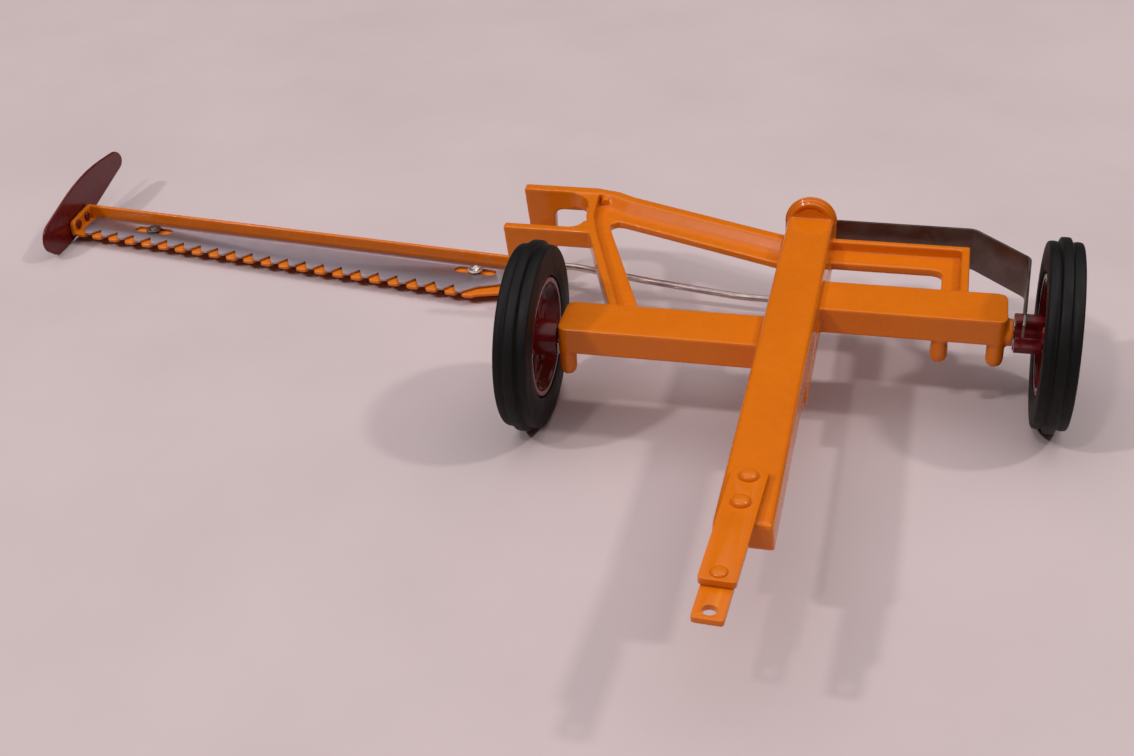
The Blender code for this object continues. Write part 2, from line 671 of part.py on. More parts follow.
    peg_front = BEAM_SETBACK - BEAM_WIDTH / 2 + PEG_RADIUS + PEG_INSET
    peg_top = BEAM_TOP - BEAM_HEIGHT / 2
    join(casting, peg_shape(LEFT_BEAM_END + PEG_RADIUS + PEG_INSET, peg_front, peg_top))
    join(casting, peg_shape(RIGHT_BEAM_END - PEG_RADIUS - PEG_INSET, RIGHT_WHEEL_Y + peg_front, peg_top))
    join(casting, peg_shape(INNER_PEG_X, RIGHT_WHEEL_Y + peg_front, peg_top))
    join(casting, peg_shape(TONGUE_X + SKIRT_PEG_OFFSET[0], SKIRT_FRONT + SKIRT_PEG_OFFSET[1], peg_top))

    for outer, axle_y in ((LEFT_BEAM_END, 0.0), (RIGHT_BEAM_END, RIGHT_WHEEL_Y)):
        side = 1 if outer > TONGUE_X else -1
        inner = TONGUE_X + side * (TONGUE_WIDTH / 2 + WALL)
        pocket = beam_hollow(inner, outer, axle_y)
        cut(casting, prism(pocket, beam_foot - WALL, BEAM_TOP - WALL))
        reach = outer - side * AXLE_DEPTH
        bore = AXLE_RADIUS + SEAT_GAP
        cut(casting, rod(bore, reach, outer + side * 2 * END_BOSS_LENGTH, "X", (axle_y, TYRE_RADIUS)))
    cut(casting, tongue_hollow())

    pin_hole = ROCKER_PIN_RADIUS + SEAT_GAP
    cut(casting, rod(pin_hole, rocker_pin_tail() - SEAT_GAP, BOSS_REAR + WALL, "Y",
                     (TONGUE_X, BOSS_HEIGHT)))

    hinge_hole = HINGE_PIN_RADIUS + SEAT_GAP
    cut(casting, rod(hinge_hole, FRONT_ARM_Y - WALL, FRONT_ARM_Y + FRONT_ARM_THICKNESS + WALL, "Y",
                     (HINGE_X, HINGE_Z)))
    cut(casting, rod(hinge_hole, REAR_ARM_Y - REAR_ARM_THICKNESS - WALL, REAR_ARM_Y + WALL, "Y",
                     (HINGE_X, HINGE_Z)))
    rivet_hole = HITCH_RIVET_RADIUS + SEAT_GAP
    for place in STRAP_RIVETS:
        cut(casting, rod(rivet_hole, TONGUE_TOP - TONGUE_DEPTH - WALL, TONGUE_TOP + WALL, "Z",
                         hitch_point(place)))
    return casting


# Hitch

def hitch_point(ahead, side=0.0):
    """Plan position measured forward from the strap's rear end and to its right."""
    turn = math.radians(HITCH_TURN)
    x = HITCH_REAR[0] - ahead * math.sin(turn) + side * math.cos(turn)
    y = HITCH_REAR[1] - ahead * math.cos(turn) - side * math.sin(turn)
    return (x, y)


def hitch_bar(start, end, width, corner, low, high):
    outline = [hitch_point(*spot) for spot in box_outline((start, -width / 2), (end, width / 2), corner)]
    return prism(outline, low, high)


def build_hitch(paint):
    strap_low = TONGUE_TOP + SEAT_GAP
    strap_high = strap_low + STRAP_THICKNESS
    tab_low = TONGUE_TOP - TAB_THICKNESS
    strap = finish_mesh("hitch_strap", hitch_bar(0, STRAP_LENGTH, STRAP_WIDTH, 1.0 * MM, strap_low,
                                                 strap_high), paint)
    tab = finish_mesh("hitch_tab", hitch_bar(TAB_START, TAB_START + TAB_LENGTH, TAB_WIDTH, 0.9 * MM,
                                             tab_low, TONGUE_TOP), paint)
    hole = HITCH_RIVET_RADIUS + SEAT_GAP
    for place in STRAP_RIVETS + (TAB_RIVET,):
        cut(strap, rod(hole, strap_low - WALL, strap_high + WALL, "Z", hitch_point(place)))
    cut(tab, rod(hole, tab_low - WALL, TONGUE_TOP + WALL, "Z", hitch_point(TAB_RIVET)))
    cut(tab, rod(TAB_HOLE_RADIUS, tab_low - WALL, TONGUE_TOP + WALL, "Z", hitch_point(TAB_HOLE),
                 WHEEL_ROUND))

    seat = strap_high + SEAT_GAP
    for name, place in zip(("strap_rivet_rear", "strap_rivet_front"), STRAP_RIVETS):
        finish_mesh(name, headed_pin(HITCH_RIVET_RADIUS, HITCH_HEAD_RADIUS, HITCH_HEAD_HEIGHT,
                                     TONGUE_TOP - TONGUE_DEPTH, seat, "Z", hitch_point(place)), paint)
    # The tab's rivet ends flush below, because the tab's underside rests on the tractor's drawbar.
    finish_mesh("tab_rivet", headed_pin(HITCH_RIVET_RADIUS, TAB_HEAD_RADIUS, TAB_HEAD_HEIGHT,
                                        tab_low + SEAT_GAP, seat, "Z", hitch_point(TAB_RIVET)), paint)


# Wheels

def tyre_profile(centre_x):
    """Half of the section from bore to tread, mirrored about the wheel's middle plane."""
    shoulder = TYRE_RADIUS - SHOULDER_DROP
    groove = shoulder - 0.5 * MM
    half = [
        (TYRE_BORE_RADIUS, RIM_HALF_WIDTH - 0.6 * MM),
        (TYRE_BORE_RADIUS + 0.4 * MM, RIM_HALF_WIDTH + 0.2 * MM),
        (20.5 * MM, TYRE_HALF_WIDTH - 0.1 * MM),
        (24.0 * MM, TYRE_HALF_WIDTH),
        (shoulder - 0.9 * MM, TYRE_HALF_WIDTH - 0.15 * MM),
        (shoulder, TYRE_HALF_WIDTH - 0.7 * MM),
        (shoulder, RIB_HALF_WIDTH + 1.0 * MM),
        (groove, RIB_HALF_WIDTH + 0.7 * MM),
        (groove, RIB_HALF_WIDTH + 0.3 * MM),
        (TYRE_RADIUS - 0.2 * MM, RIB_HALF_WIDTH),
        (TYRE_RADIUS, RIB_HALF_WIDTH - 0.5 * MM)]
    right = [(radius, centre_x + offset) for radius, offset in half]
    left = [(radius, centre_x - offset) for radius, offset in reversed(half)]
    return right + left


def disc_profile(centre_x, side, hub_end):
    """Rim, web and hub in one closed ring. side points to the inboard face."""
    rim = TYRE_BORE_RADIUS - SEAT_GAP
    inner = rim - RIM_WALL
    bore = AXLE_RADIUS + PIN_PLAY
    web = DISC_THICKNESS / 2
    points = [
        (rim, RIM_HALF_WIDTH - 0.4 * MM), (rim - 0.5 * MM, RIM_HALF_WIDTH), (inner, RIM_HALF_WIDTH),
        (inner - BARREL_SLOPE + 0.3 * MM, web + 0.6 * MM), (inner - BARREL_SLOPE - 0.6 * MM, web),
        (HUB_RADIUS + 0.8 * MM, web), (HUB_RADIUS, web + 0.8 * MM),
        (HUB_RADIUS - 0.3 * MM, hub_end - 0.3 * MM), (HUB_RADIUS - 0.6 * MM, hub_end), (bore, hub_end),
        (bore, -HUB_OUTER_LENGTH), (HUB_RADIUS - 1.4 * MM, -HUB_OUTER_LENGTH),
        (HUB_RADIUS - 0.8 * MM, -HUB_OUTER_LENGTH + 0.6 * MM), (HUB_RADIUS, -web),
        (inner - BARREL_SLOPE - 0.6 * MM, -web), (inner - BARREL_SLOPE + 0.3 * MM, -web - 0.6 * MM),
        (inner, -RIM_HALF_WIDTH), (rim - 0.5 * MM, -RIM_HALF_WIDTH), (rim, -RIM_HALF_WIDTH + 0.4 * MM)]
    return [(radius, centre_x + side * height) for radius, height in points]


def spoke_shape(centre_x, side, centre, angle):
    """A low radial rib on the inboard face of the disc, sunk a little into web, rim and hub."""
    inner = HUB_RADIUS - 0.8 * MM
    outer = TYRE_BORE_RADIUS - SEAT_GAP - RIM_WALL - BARREL_SLOPE / 2
    low = centre_x + side * DISC_THICKNESS / 4
    high = centre_x + side * (DISC_THICKNESS / 2 + SPOKE_HEIGHT)
    foot = SPOKE_WIDTH / 2
    crest = SPOKE_WIDTH / 3
    shape = bmesh.new()
    turn = Matrix.Rotation(angle, 2)
    rings = []
    for distance in (inner, outer):
        ring = []
        for across, height in ((-foot, low), (foot, low), (crest, high), (-crest, high)):
            spot = turn @ Vector((distance, across))
            ring.append(shape.verts.new((height, centre[0] + spot.x, centre[1] + spot.y)))
        rings.append(ring)
        shape.faces.new(ring)
    for index in range(4):
        ahead = (index + 1) % 4
        shape.faces.new((rings[0][index], rings[0][ahead], rings[1][ahead], rings[1][index]))
    return shape


def build_wheel(word, centre_x, centre_y, side, hub_end, pivot, rubber, red):
    """Tyre and disc of one wheel. side is +1 where the frame lies at its right."""
    centre = (centre_y, TYRE_RADIUS)
    finish_mesh(f"tyre_{word}", turned(tyre_profile(centre_x), "X", centre, WHEEL_ROUND), rubber, pivot, 25)
    disc = finish_mesh(f"wheel_disc_{word}", turned(disc_profile(centre_x, side, hub_end), "X",
                                                    centre, WHEEL_ROUND), red, pivot)
    for index in range(SPOKE_COUNT):
        angle = 2 * math.pi * (index + 0.5) / SPOKE_COUNT
        join(disc, spoke_shape(centre_x, side, centre, angle))


def build_axle(word, beam_end, centre_x, centre_y, side, steel):
    """Axle pin with its domed head, and the washer under the head."""
    centre = (centre_y, TYRE_RADIUS)
    hub_face = centre_x - side * HUB_OUTER_LENGTH
    washer_near = hub_face - side * SIDE_PLAY
    washer_far = washer_near - side * WASHER_THICKNESS
    finish_mesh(f"axle_washer_{word}", washer(AXLE_WASHER_RADIUS, AXLE_RADIUS + PIN_PLAY,
                                              washer_near, washer_far, "X", centre), steel)
    tail = beam_end + side * (AXLE_DEPTH - SEAT_GAP)
    finish_mesh(f"axle_{word}", headed_pin(AXLE_RADIUS, AXLE_HEAD_RADIUS, AXLE_HEAD_HEIGHT, tail,
                                           washer_far - side * SEAT_GAP, "X", centre), steel)


def star_outline():
    """Four vanes on a round core, seen along the axle."""
    outline = []
    half = STAR_VANE / 2
    core_angle = math.degrees(math.asin(half / STAR_CORE_RADIUS))
    for vane in range(STAR_VANES):
        heading = 360.0 * vane / STAR_VANES + STAR_TURN
        turn = Matrix.Rotation(math.radians(heading), 2)
        for along_vane, across, radius in ((STAR_RADIUS, -half, 0.5 * MM), (STAR_RADIUS, half, 0.5 * MM)):
            sign = 1 if across > 0 else -1
            corner = turn @ Vector((along_vane - radius, across - sign * radius))
            first = heading - 90 if sign < 0 else heading
            outline += arc(corner, radius, first, first + 90, 2)
        gap = 360.0 / STAR_VANES
        outline += arc((0, 0), STAR_CORE_RADIUS, heading + core_angle, heading + gap - core_angle, 3)
    return [(RIGHT_WHEEL_Y + a, TYRE_RADIUS + b) for a, b in outline]


def star_start():
    return RIGHT_BEAM_END + END_BOSS_LENGTH + SIDE_PLAY


def build_star(pivot, red):
    """The vaned hub between the right beam and the right wheel."""
    star = finish_mesh("drive_star", prism(star_outline(), star_start(), star_start() + STAR_LENGTH, "X"),
                       red, pivot)
    cut(star, rod(AXLE_RADIUS + PIN_PLAY, RIGHT_BEAM_END, RIGHT_WHEEL_X, "X",
                  (RIGHT_WHEEL_Y, TYRE_RADIUS), ROUND))


# Cutter bar

def bar_point(outward, forward):
    """Plan position of a point measured along the bar and forward from its rear face."""
    sweep = math.radians(BAR_SWEEP)
    x = HINGE_X - outward * math.cos(sweep) - forward * math.sin(sweep)
    y = BAR_REAR_Y + outward * math.sin(sweep) - forward * math.cos(sweep)
    return (x, y)


def bar_outline(points):
    return [bar_point(*point) for point in points]


def tip_line(outward):
    """How far forward the lobe tips reach at a place along the bar."""
    return BAR_WIDTH - BAR_TAPER * outward


def lobe_places():
    """As many lobes as fit before the bar's outer end."""
    room = BAR_LENGTH - LOBE_WIDTH / 2 - FIRST_LOBE
    return [FIRST_LOBE + LOBE_PITCH * index for index in range(int(room / LOBE_PITCH) + 1)]


def lobed_edge():
    """The bar's front edge from the shoe outwards, with its round lobes."""
    edge = [SHOE_HEEL, SHOE_NECK]
    half = LOBE_WIDTH / 2
    for place in [SHOE_LOBE] + lobe_places():
        tip = tip_line(place)
        if place > SHOE_LOBE:
            edge.append((place - half, tip - LOBE_REACH))
        for across, forward in arc((place, tip - half * 0.8), half, 160, 20, 5):
            edge.append((across, min(forward, tip)))
        edge.append((place + half, tip - LOBE_REACH))
    return edge + [(edge[-1][0] + STEP, tip_line(BAR_LENGTH))]


def bar_end_x():
    return bar_point(BAR_LENGTH, 0)[0]


def outer_slot():
    return BAR_LENGTH - OUTER_SLOT_FROM_END


def bar_rear_at_end():
    return bar_point(BAR_LENGTH, 0)[1]


def bar_front_at_end():
    return bar_point(BAR_LENGTH, tip_line(BAR_LENGTH))[1]


def plate_outline():
    """Plan outline of the bar, with a square heel under the hinge eyes."""
    heel_front = front_eye_y() + SEAT_GAP
    inner = HINGE_X + BAR_INNER_LENGTH
    heel = [(inner, BAR_REAR_Y), (inner, heel_front), (HINGE_X - BAR_INNER_LENGTH, heel_front),
            (HINGE_X - BAR_INNER_LENGTH - 1 * MM, heel_front + 4 * MM)]
    end = [(bar_end_x(), bar_front_at_end()), (bar_end_x(), bar_rear_at_end())]
    return heel + bar_outline(lobed_edge()) + end


def plate_top():
    return BAR_FLOOR_GAP + BAR_THICKNESS


def knife_low():
    return plate_top() + SIDE_PLAY


def knife_high():
    return knife_low() + KNIFE_THICKNESS


def eye_outline(height):
    """An upright eye round the hinge, seen from the front, that stands on the bar plate."""
    ring = arc((HINGE_X, HINGE_Z), EYE_RADIUS, -20, 200, 12)
    return ring + [(HINGE_X - EYE_RADIUS + 0.2 * MM, height), (HINGE_X + EYE_RADIUS - 0.2 * MM, height)]


def hinge_hole_shape(low, high):
    return rod(HINGE_PIN_RADIUS + PIN_PLAY, low, high, "Y", (HINGE_X, HINGE_Z))


def front_eye_y():
    return FRONT_ARM_Y + FRONT_ARM_THICKNESS + SIDE_PLAY


def rear_eye_y():
    return REAR_ARM_Y - REAR_ARM_THICKNESS - SIDE_PLAY


def build_bar(pivot, paint, red, steel, dark_steel):
    bar = finish_mesh("cutter_bar", prism(plate_outline(), BAR_FLOOR_GAP, plate_top()), paint, pivot)
    flange_end = BAR_LENGTH - END_WALL_THICKNESS / 2
    flange = [(STEP - BAR_INNER_LENGTH, STEP), (STEP - BAR_INNER_LENGTH, FLANGE_THICKNESS),
              (flange_end, FLANGE_THICKNESS), (flange_end, STEP)]
    sunk = BAR_FLOOR_GAP + BAR_THICKNESS / 2
    join(bar, prism(bar_outline(flange), sunk, plate_top() + FLANGE_HEIGHT))
    wall_front = bar_front_at_end() + STEP
    wall_rear = bar_rear_at_end() + STEP
    end_wall = rounded([
        (wall_front, sunk - STEP, 0), (wall_front, plate_top() + END_WALL_HEIGHT, END_WALL_ROUND),
        (wall_rear, plate_top() + FLANGE_HEIGHT - STEP, 0), (wall_rear, sunk - STEP, 0)])
    join(bar, prism(end_wall, bar_end_x() - STEP, bar_end_x() + END_WALL_THICKNESS, "X"))
    pad_x, pad_y = bar_point(SHOE_HEEL[0] + PAD_LENGTH / 2, SHOE_HEEL[1] - PAD_INSET)
    pad = box_outline((pad_x - PAD_LENGTH / 2, pad_y), (pad_x + PAD_LENGTH / 2, pad_y + PAD_DEPTH),
                      PAD_DEPTH / 4)
    join(bar, prism(pad, 0.0, sunk + STEP))
    join(bar, prism(eye_outline(sunk), front_eye_y(), front_eye_y() + EYE_WIDTH, "Y"))
    join(bar, prism(eye_outline(sunk), rear_eye_y() - EYE_WIDTH, rear_eye_y() - STEP, "Y"))
    cut(bar, hinge_hole_shape(front_eye_y() - WALL, front_eye_y() + EYE_WIDTH + WALL))
    cut(bar, hinge_hole_shape(rear_eye_y() - EYE_WIDTH - WALL, rear_eye_y() + WALL))

    for word, place, head_radius, head_height, finish in (
            ("inner", INNER_SLOT, INNER_HEAD_RADIUS, INNER_HEAD_HEIGHT, steel),
            ("outer", outer_slot(), OUTER_HEAD_RADIUS, OUTER_HEAD_HEIGHT, dark_steel)):
        centre = bar_point(place, SLOT_INSET)
        cut(bar, rod(RIVET_RADIUS + SEAT_GAP, -WALL, plate_top() + WALL, "Z", centre))
        washer_low = knife_high() + SIDE_PLAY
        washer_high = washer_low + KNIFE_WASHER_THICKNESS
        finish_mesh(f"knife_washer_{word}", washer(KNIFE_WASHER_RADIUS, RIVET_RADIUS + PIN_PLAY,
                                                   washer_low, washer_high, "Z", centre), finish, pivot)
        finish_mesh(f"knife_rivet_{word}", headed_pin(RIVET_RADIUS, head_radius, head_height,
                                                      BAR_FLOOR_GAP + SEAT_GAP, washer_high + SEAT_GAP,
                                                      "Z", centre), finish, pivot)
    build_board(bar, pivot, red)


def board_rivets():
    """Places of the board's two rivets, seen from the side."""
    height = plate_top() + END_WALL_HEIGHT / 2
    return [(bar_front_at_end() + behind, height) for behind in BOARD_RIVETS]


def build_board(bar, pivot, red):
    """The swath board: a flat blade, deep at its front, riveted to the bar's outer end."""
    near = bar_end_x() - STEP - SEAT_GAP
    far = near - BOARD_THICKNESS
    front = BOARD_FRONT_Y
    outline = rounded([
        (front, BOARD_NOSE_LOW, BOARD_NOSE_RADIUS),
        (front + BOARD_SOLE[0], BOARD_FLOOR_GAP, BOARD_NOSE_RADIUS),
        (front + BOARD_SOLE[1], BOARD_FLOOR_GAP, BOARD_BELLY_RADIUS),
        (front + BOARD_TAIL_LOW[0], *BOARD_TAIL_LOW[1:]),
        (front + BOARD_TAIL_HIGH[0], *BOARD_TAIL_HIGH[1:]),
        (front + BOARD_BACK[0], *BOARD_BACK[1:]),
        (front, BOARD_NOSE_HIGH, BOARD_NOSE_RADIUS)], 7)
    board = finish_mesh("swath_board", prism(outline, far, near, "X"), red, pivot)
    inner = bar_end_x() + END_WALL_THICKNESS
    for index, spot in enumerate(board_rivets()):
        for item in (bar, board):
            cut(item, rod(BOARD_RIVET_RADIUS + SEAT_GAP, far - WALL, inner + WALL, "X", spot))
        rivet = two_headed(BOARD_RIVET_RADIUS, BOARD_HEAD_RADIUS, BOARD_HEAD_HEIGHT,
                           far - SEAT_GAP, inner + SEAT_GAP, "X", spot)
        finish_mesh(f"swath_rivet_{index + 1}", rivet, red, pivot)


# Knife

def tooth_edge(outer_end):
    """The saw edge from the inner end outwards: a tooth between two lobes, a notch on each lobe."""
    edge = [(KNIFE_INNER_END, KNIFE_HEEL_WIDTH), KNIFE_SHOULDER, KNIFE_NECK]
    lobes = [place for place in [SHOE_LOBE] + lobe_places() if place < outer_end]
    for before, after in zip(lobes, lobes[1:]):
        middle = (before + after) / 2
        tip = tip_line(middle) - TOOTH_INSET
        edge += [(middle - TOOTH_LAND / 2, tip), (middle + TOOTH_LAND / 2, tip), (after, tip - TOOTH_DEPTH)]
    return edge


def build_knife(pivot, steel):
    """The toothed blade, with its slots, the upright tail and the tail's sloping hole."""
    outer_end = BAR_LENGTH - KNIFE_OUTER_GAP
    back = FLANGE_THICKNESS + 2 * SIDE_PLAY
    outline = [(KNIFE_INNER_END, back)] + tooth_edge(outer_end) + [(outer_end, back)]
    knife = finish_mesh("knife", prism(bar_outline(outline), knife_low(), knife_high()), steel, pivot)
    sunk = knife_low() + KNIFE_THICKNESS / 2
    join(knife, prism(tail_outline(sunk), TAIL_Y, TAIL_Y + TAIL_THICKNESS, "Y"))
    hole = capsule((HINGE_X, HINGE_Z), (HINGE_X - STROKE, HINGE_Z + STROKE),
                   WIRE_RADIUS + PIN_PLAY + HOLE_BULGE)
    cut(knife, prism(hole, TAIL_Y - WALL, TAIL_Y + TAIL_THICKNESS + WALL, "Y"))
    for place in (INNER_SLOT, outer_slot()):
        half = (SLOT_LENGTH - SLOT_WIDTH) / 2
        slot = capsule((place - half, SLOT_INSET), (place + half, SLOT_INSET), SLOT_WIDTH / 2, 6)
        cut(knife, prism(bar_outline(slot), knife_low() - WALL, knife_high() + WALL))


def tail_outline(foot):
    """The upright tail seen from the front: an eye over a foot that stands on the blade."""
    centre = (HINGE_X - STROKE / 2, HINGE_Z + STROKE / 2)
    radius = TAIL_RADIUS + STROKE / 2
    ring = arc(centre, radius, -30, 210, 16)
    return ring + [(HINGE_X - radius - 1.5 * MM, foot), (HINGE_X + radius - 1.2 * MM, foot)]


# Rocker

def rocker_pin_tail():
    """The front end of the rocker's pin, inside the boss."""
    return BOSS_REAR - 2 * WALL


def rocker_path():
    """Plan line of the strip's middle layer, with rounded folds."""
    corners = [(TONGUE_X - 2 * ROCKER_LOBE, rocker_y()), (ROCKER_FOLD_X, rocker_y()),
               (ROCKER_FINGER_X, ROCKER_FINGER_Y), (ROCKER_TIP_X, ROCKER_TIP_Y)]
    return eased(corners, 1.8 * MM, 4)


def eased(corners, reach, steps):
    """An open path whose corners are rounded by smooth curves."""
    path = [Vector(corners[0])]
    for before, here, after in zip(corners, corners[1:], corners[2:]):
        here = Vector(here)
        start = here + (Vector(before) - here).normalized() * reach
        end = here + (Vector(after) - here).normalized() * reach
        for step in range(steps + 1):
            way = step / steps
            path.append(start.lerp(here, way).lerp(here.lerp(end, way), way))
    path.append(Vector(corners[-1]))
    return path


def folded(outline, path, thickness):
    """A flat sheet over a (distance, height) outline, bent so that it follows a plan path."""
    shape = prism(outline, -thickness / 2, thickness / 2, "Y")
    places = [0.0]
    for before, after in zip(path, path[1:]):
        places.append(places[-1] + (after - before).length)
    for place in places[1:-1]:
        bmesh.ops.bisect_plane(shape, geom=shape.verts[:] + shape.edges[:] + shape.faces[:],
                               plane_co=(place, 0, 0), plane_no=(1, 0, 0))
    left = offset_path(path, 1.0)
    for corner in shape.verts:
        distance, side, height = corner.co
        index = max(0, min(len(path) - 2, sum(1 for place in places[1:-1] if place < distance - 1e-7)))
        way = (distance - places[index]) / (places[index + 1] - places[index])
        middle = path[index].lerp(path[index + 1], way)
        normal = (Vector(left[index]) - path[index]).lerp(Vector(left[index + 1]) - path[index + 1], way)
        corner.co = (*(middle + normal * side), height)
    return shape


def build_rocker(pivot, dark_steel):
    path = rocker_path()
    start = path[0].x
    lengths = [(after - before).length for before, after in zip(path, path[1:])]
    total = sum(lengths)
    fold = ROCKER_FOLD_X - start
    centre = TONGUE_X - start
    lobe = arc((centre, BOSS_HEIGHT), ROCKER_LOBE, 0, 180, 12)
    sagged_foot = ROCKER_FOOT - ROCKER_SAG
    hole = ARM_HOLE_X - start
    star_rear = total + ROCKER_TIP_Y - RIGHT_WHEEL_Y - STAR_RADIUS - STAR_ROOM
    star_front = total + ROCKER_TIP_Y - RIGHT_WHEEL_Y + 1.5 * STAR_VANE
    over_star = TYRE_RADIUS + STAR_RADIUS + STAR_ROOM
    hook_foot = over_star - ROCKER_HOOK_DROP
    hook_round = ROCKER_HOOK_WIDTH / 3
    outline = rounded([
        (total, hook_foot, hook_round), (total, over_star - 0.4 * MM, 1.6 * MM),
        (total - 3.4 * MM, ROCKER_TOP, 1.5 * MM), (fold, ROCKER_TOP - ROCKER_SAG, 0)])
    outline += lobe + [(hole - ARM_EYE_RADIUS, ARM_HOLE_Z + ARM_EYE_RADIUS)]
    outline += arc((hole, ARM_HOLE_Z), ARM_EYE_RADIUS, 190, 350, 8)
    outline += rounded([
        (centre + ARM_SHOULDER[0], ARM_SHOULDER[1], 2 * MM),
        (centre + ARM_SHOULDER[0], sagged_foot, 3 * MM), (fold, sagged_foot, 0),
        (star_rear, ROCKER_FOOT, 2 * MM), (star_rear, over_star, 1.5 * MM),
        (star_front, over_star, 0.8 * MM), (total - ROCKER_HOOK_WIDTH, hook_foot, hook_round)])
    sheet = folded(outline, path, ROCKER_THICKNESS)
    rocker = finish_mesh("rocker_arm", sheet, dark_steel, pivot)
    front = rocker_y() - WALL
    rear = rocker_y() + WALL
    cut(rocker, rod(ROCKER_PIN_RADIUS + PIN_PLAY, front, rear, "Y", (TONGUE_X, BOSS_HEIGHT)))
    cut(rocker, rod(WIRE_RADIUS + PIN_PLAY, front, rear, "Y", (ARM_HOLE_X, ARM_HOLE_Z)))


# Pitman wire

def build_wire(pivot, steel):
    """The bent wire that carries the rocker's swing to the knife's tail."""
    left = TAIL_Y + TAIL_THICKNESS + 1.6 * MM
    right = rocker_y() + ROCKER_THICKNESS / 2 + 1.6 * MM
    corners = [(HINGE_X, left, HINGE_Z), (HINGE_X, WIRE_LEFT_Y, HINGE_Z),
               (-4.0 * MM, WIRE_LEFT_Y, 13.3 * MM), (20.0 * MM, WIRE_LEFT_Y, 10.0 * MM),
               (52.0 * MM, (WIRE_LEFT_Y + WIRE_RIGHT_Y) / 2, ARM_HOLE_Z),
               (ARM_HOLE_X, WIRE_RIGHT_Y, ARM_HOLE_Z), (ARM_HOLE_X, right, ARM_HOLE_Z)]
    path = eased(corners, WIRE_BEND, 6)
    curve = bpy.data.curves.new("pitman_wire", "CURVE")
    curve.dimensions = "3D"
    curve.bevel_depth = WIRE_RADIUS
    curve.bevel_resolution = 2
    curve.use_fill_caps = True
    spline = curve.splines.new("POLY")
    spline.points.add(len(path) - 1)
    for point, spot in zip(spline.points, path):
        point.co = (*spot, 1.0)
    add_object("pitman_wire", curve, steel, pivot)


def build_pins(dark_steel):
    """Pins that carry the rocker and the cutter bar."""
    rear = rocker_y() + ROCKER_THICKNESS / 2 + SIDE_PLAY
    finish_mesh("rocker_washer", washer(HINGE_HEAD_RADIUS + 0.8 * MM, ROCKER_PIN_RADIUS + PIN_PLAY, rear,
                                        rear + WASHER_THICKNESS, "Y", (TONGUE_X, BOSS_HEIGHT)), dark_steel)
    shoulder = rear + WASHER_THICKNESS + SEAT_GAP
    finish_mesh("rocker_pin", headed_pin(ROCKER_PIN_RADIUS, HINGE_HEAD_RADIUS, HINGE_HEAD_HEIGHT,
                                         rocker_pin_tail(), shoulder, "Y",
                                         (TONGUE_X, BOSS_HEIGHT)), dark_steel)
    finish_mesh("hinge_pin_front", headed_pin(
        HINGE_PIN_RADIUS, HINGE_HEAD_RADIUS, HINGE_HEAD_HEIGHT, front_eye_y() + EYE_WIDTH + 0.6 * MM,
        FRONT_ARM_Y - SEAT_GAP, "Y", (HINGE_X, HINGE_Z)), dark_steel)
    finish_mesh("hinge_pin_rear", headed_pin(
        HINGE_PIN_RADIUS, HINGE_HEAD_RADIUS, HINGE_HEAD_HEIGHT, rear_eye_y() - EYE_WIDTH - 0.6 * MM,
        REAR_ARM_Y + SEAT_GAP, "Y", (HINGE_X, HINGE_Z)), dark_steel)


def place_on_floor():
    """Moves the model so that the origin lies under the middle of its box."""
    bpy.context.view_layer.update()
    depsgraph = bpy.context.evaluated_depsgraph_get()
    corners = []
    for item in bpy.data.objects:
        if item.type == "EMPTY" or item.hide_render:
            continue
        shown = item.evaluated_get(depsgraph)
        corners += [item.matrix_world @ corner.co for corner in shown.to_mesh().vertices]
        shown.to_mesh_clear()
    low = Vector(min(corner[axis] for corner in corners) for axis in range(3))
    high = Vector(max(corner[axis] for corner in corners) for axis in range(3))
    shift = Vector((-(low.x + high.x) / 2, -(low.y + high.y) / 2, -low.z))
    for item in bpy.data.objects:
        if item.parent is None:
            item.location = item.location + shift
    return shift


def build_model():
    clear_scene()
    orange = material("orange enamel", (0.80, 0.25, 0.012), 0.28)
    red = material("dark red enamel", (0.20, 0.012, 0.014), 0.25)
    rubber = material("black rubber", (0.020, 0.019, 0.018), 0.55)
    steel = material("bright steel", (0.60, 0.58, 0.57), 0.35, 1.0)
    dark_steel = material("dark steel", (0.17, 0.15, 0.14), 0.40, 1.0)
    build_frame(orange)
    build_hitch(orange)
    left_pivot = empty("left_wheel_axis", (0, 0, TYRE_RADIUS))
    right_pivot = empty("right_wheel_axis", (RIGHT_WHEEL_X, RIGHT_WHEEL_Y, TYRE_RADIUS))
    left_hub = LEFT_BEAM_END - SIDE_PLAY
    right_hub = RIGHT_WHEEL_X - star_start() - STAR_LENGTH - SEAT_GAP
    build_wheel("left", 0.0, 0.0, 1, left_hub, left_pivot, rubber, red)
    build_wheel("right", RIGHT_WHEEL_X, RIGHT_WHEEL_Y, -1, right_hub, right_pivot, rubber, red)
    build_axle("left", LEFT_BEAM_END, 0.0, 0.0, 1, steel)
    build_axle("right", RIGHT_BEAM_END, RIGHT_WHEEL_X, RIGHT_WHEEL_Y, -1, steel)
    build_star(right_pivot, red)
    hinge = empty("bar_hinge", (HINGE_X, FRONT_ARM_Y, HINGE_Z))
    build_bar(hinge, orange, red, steel, dark_steel)
    knife_slide = empty("knife_slide", (HINGE_X, BAR_REAR_Y, knife_low()))
    build_knife(knife_slide, steel)
    rocker_pivot = empty("rocker_pivot", (TONGUE_X, rocker_y(), BOSS_HEIGHT))
    build_rocker(rocker_pivot, dark_steel)
    wire_slide = empty("pitman_slide", (ARM_HOLE_X, rocker_y(), ARM_HOLE_Z))
    build_wire(wire_slide, steel)
    build_pins(dark_steel)
    knife_slide.parent = hinge
    knife_slide.matrix_parent_inverse = Matrix.Translation(hinge.location).inverted()
    place_on_floor()


build_model()
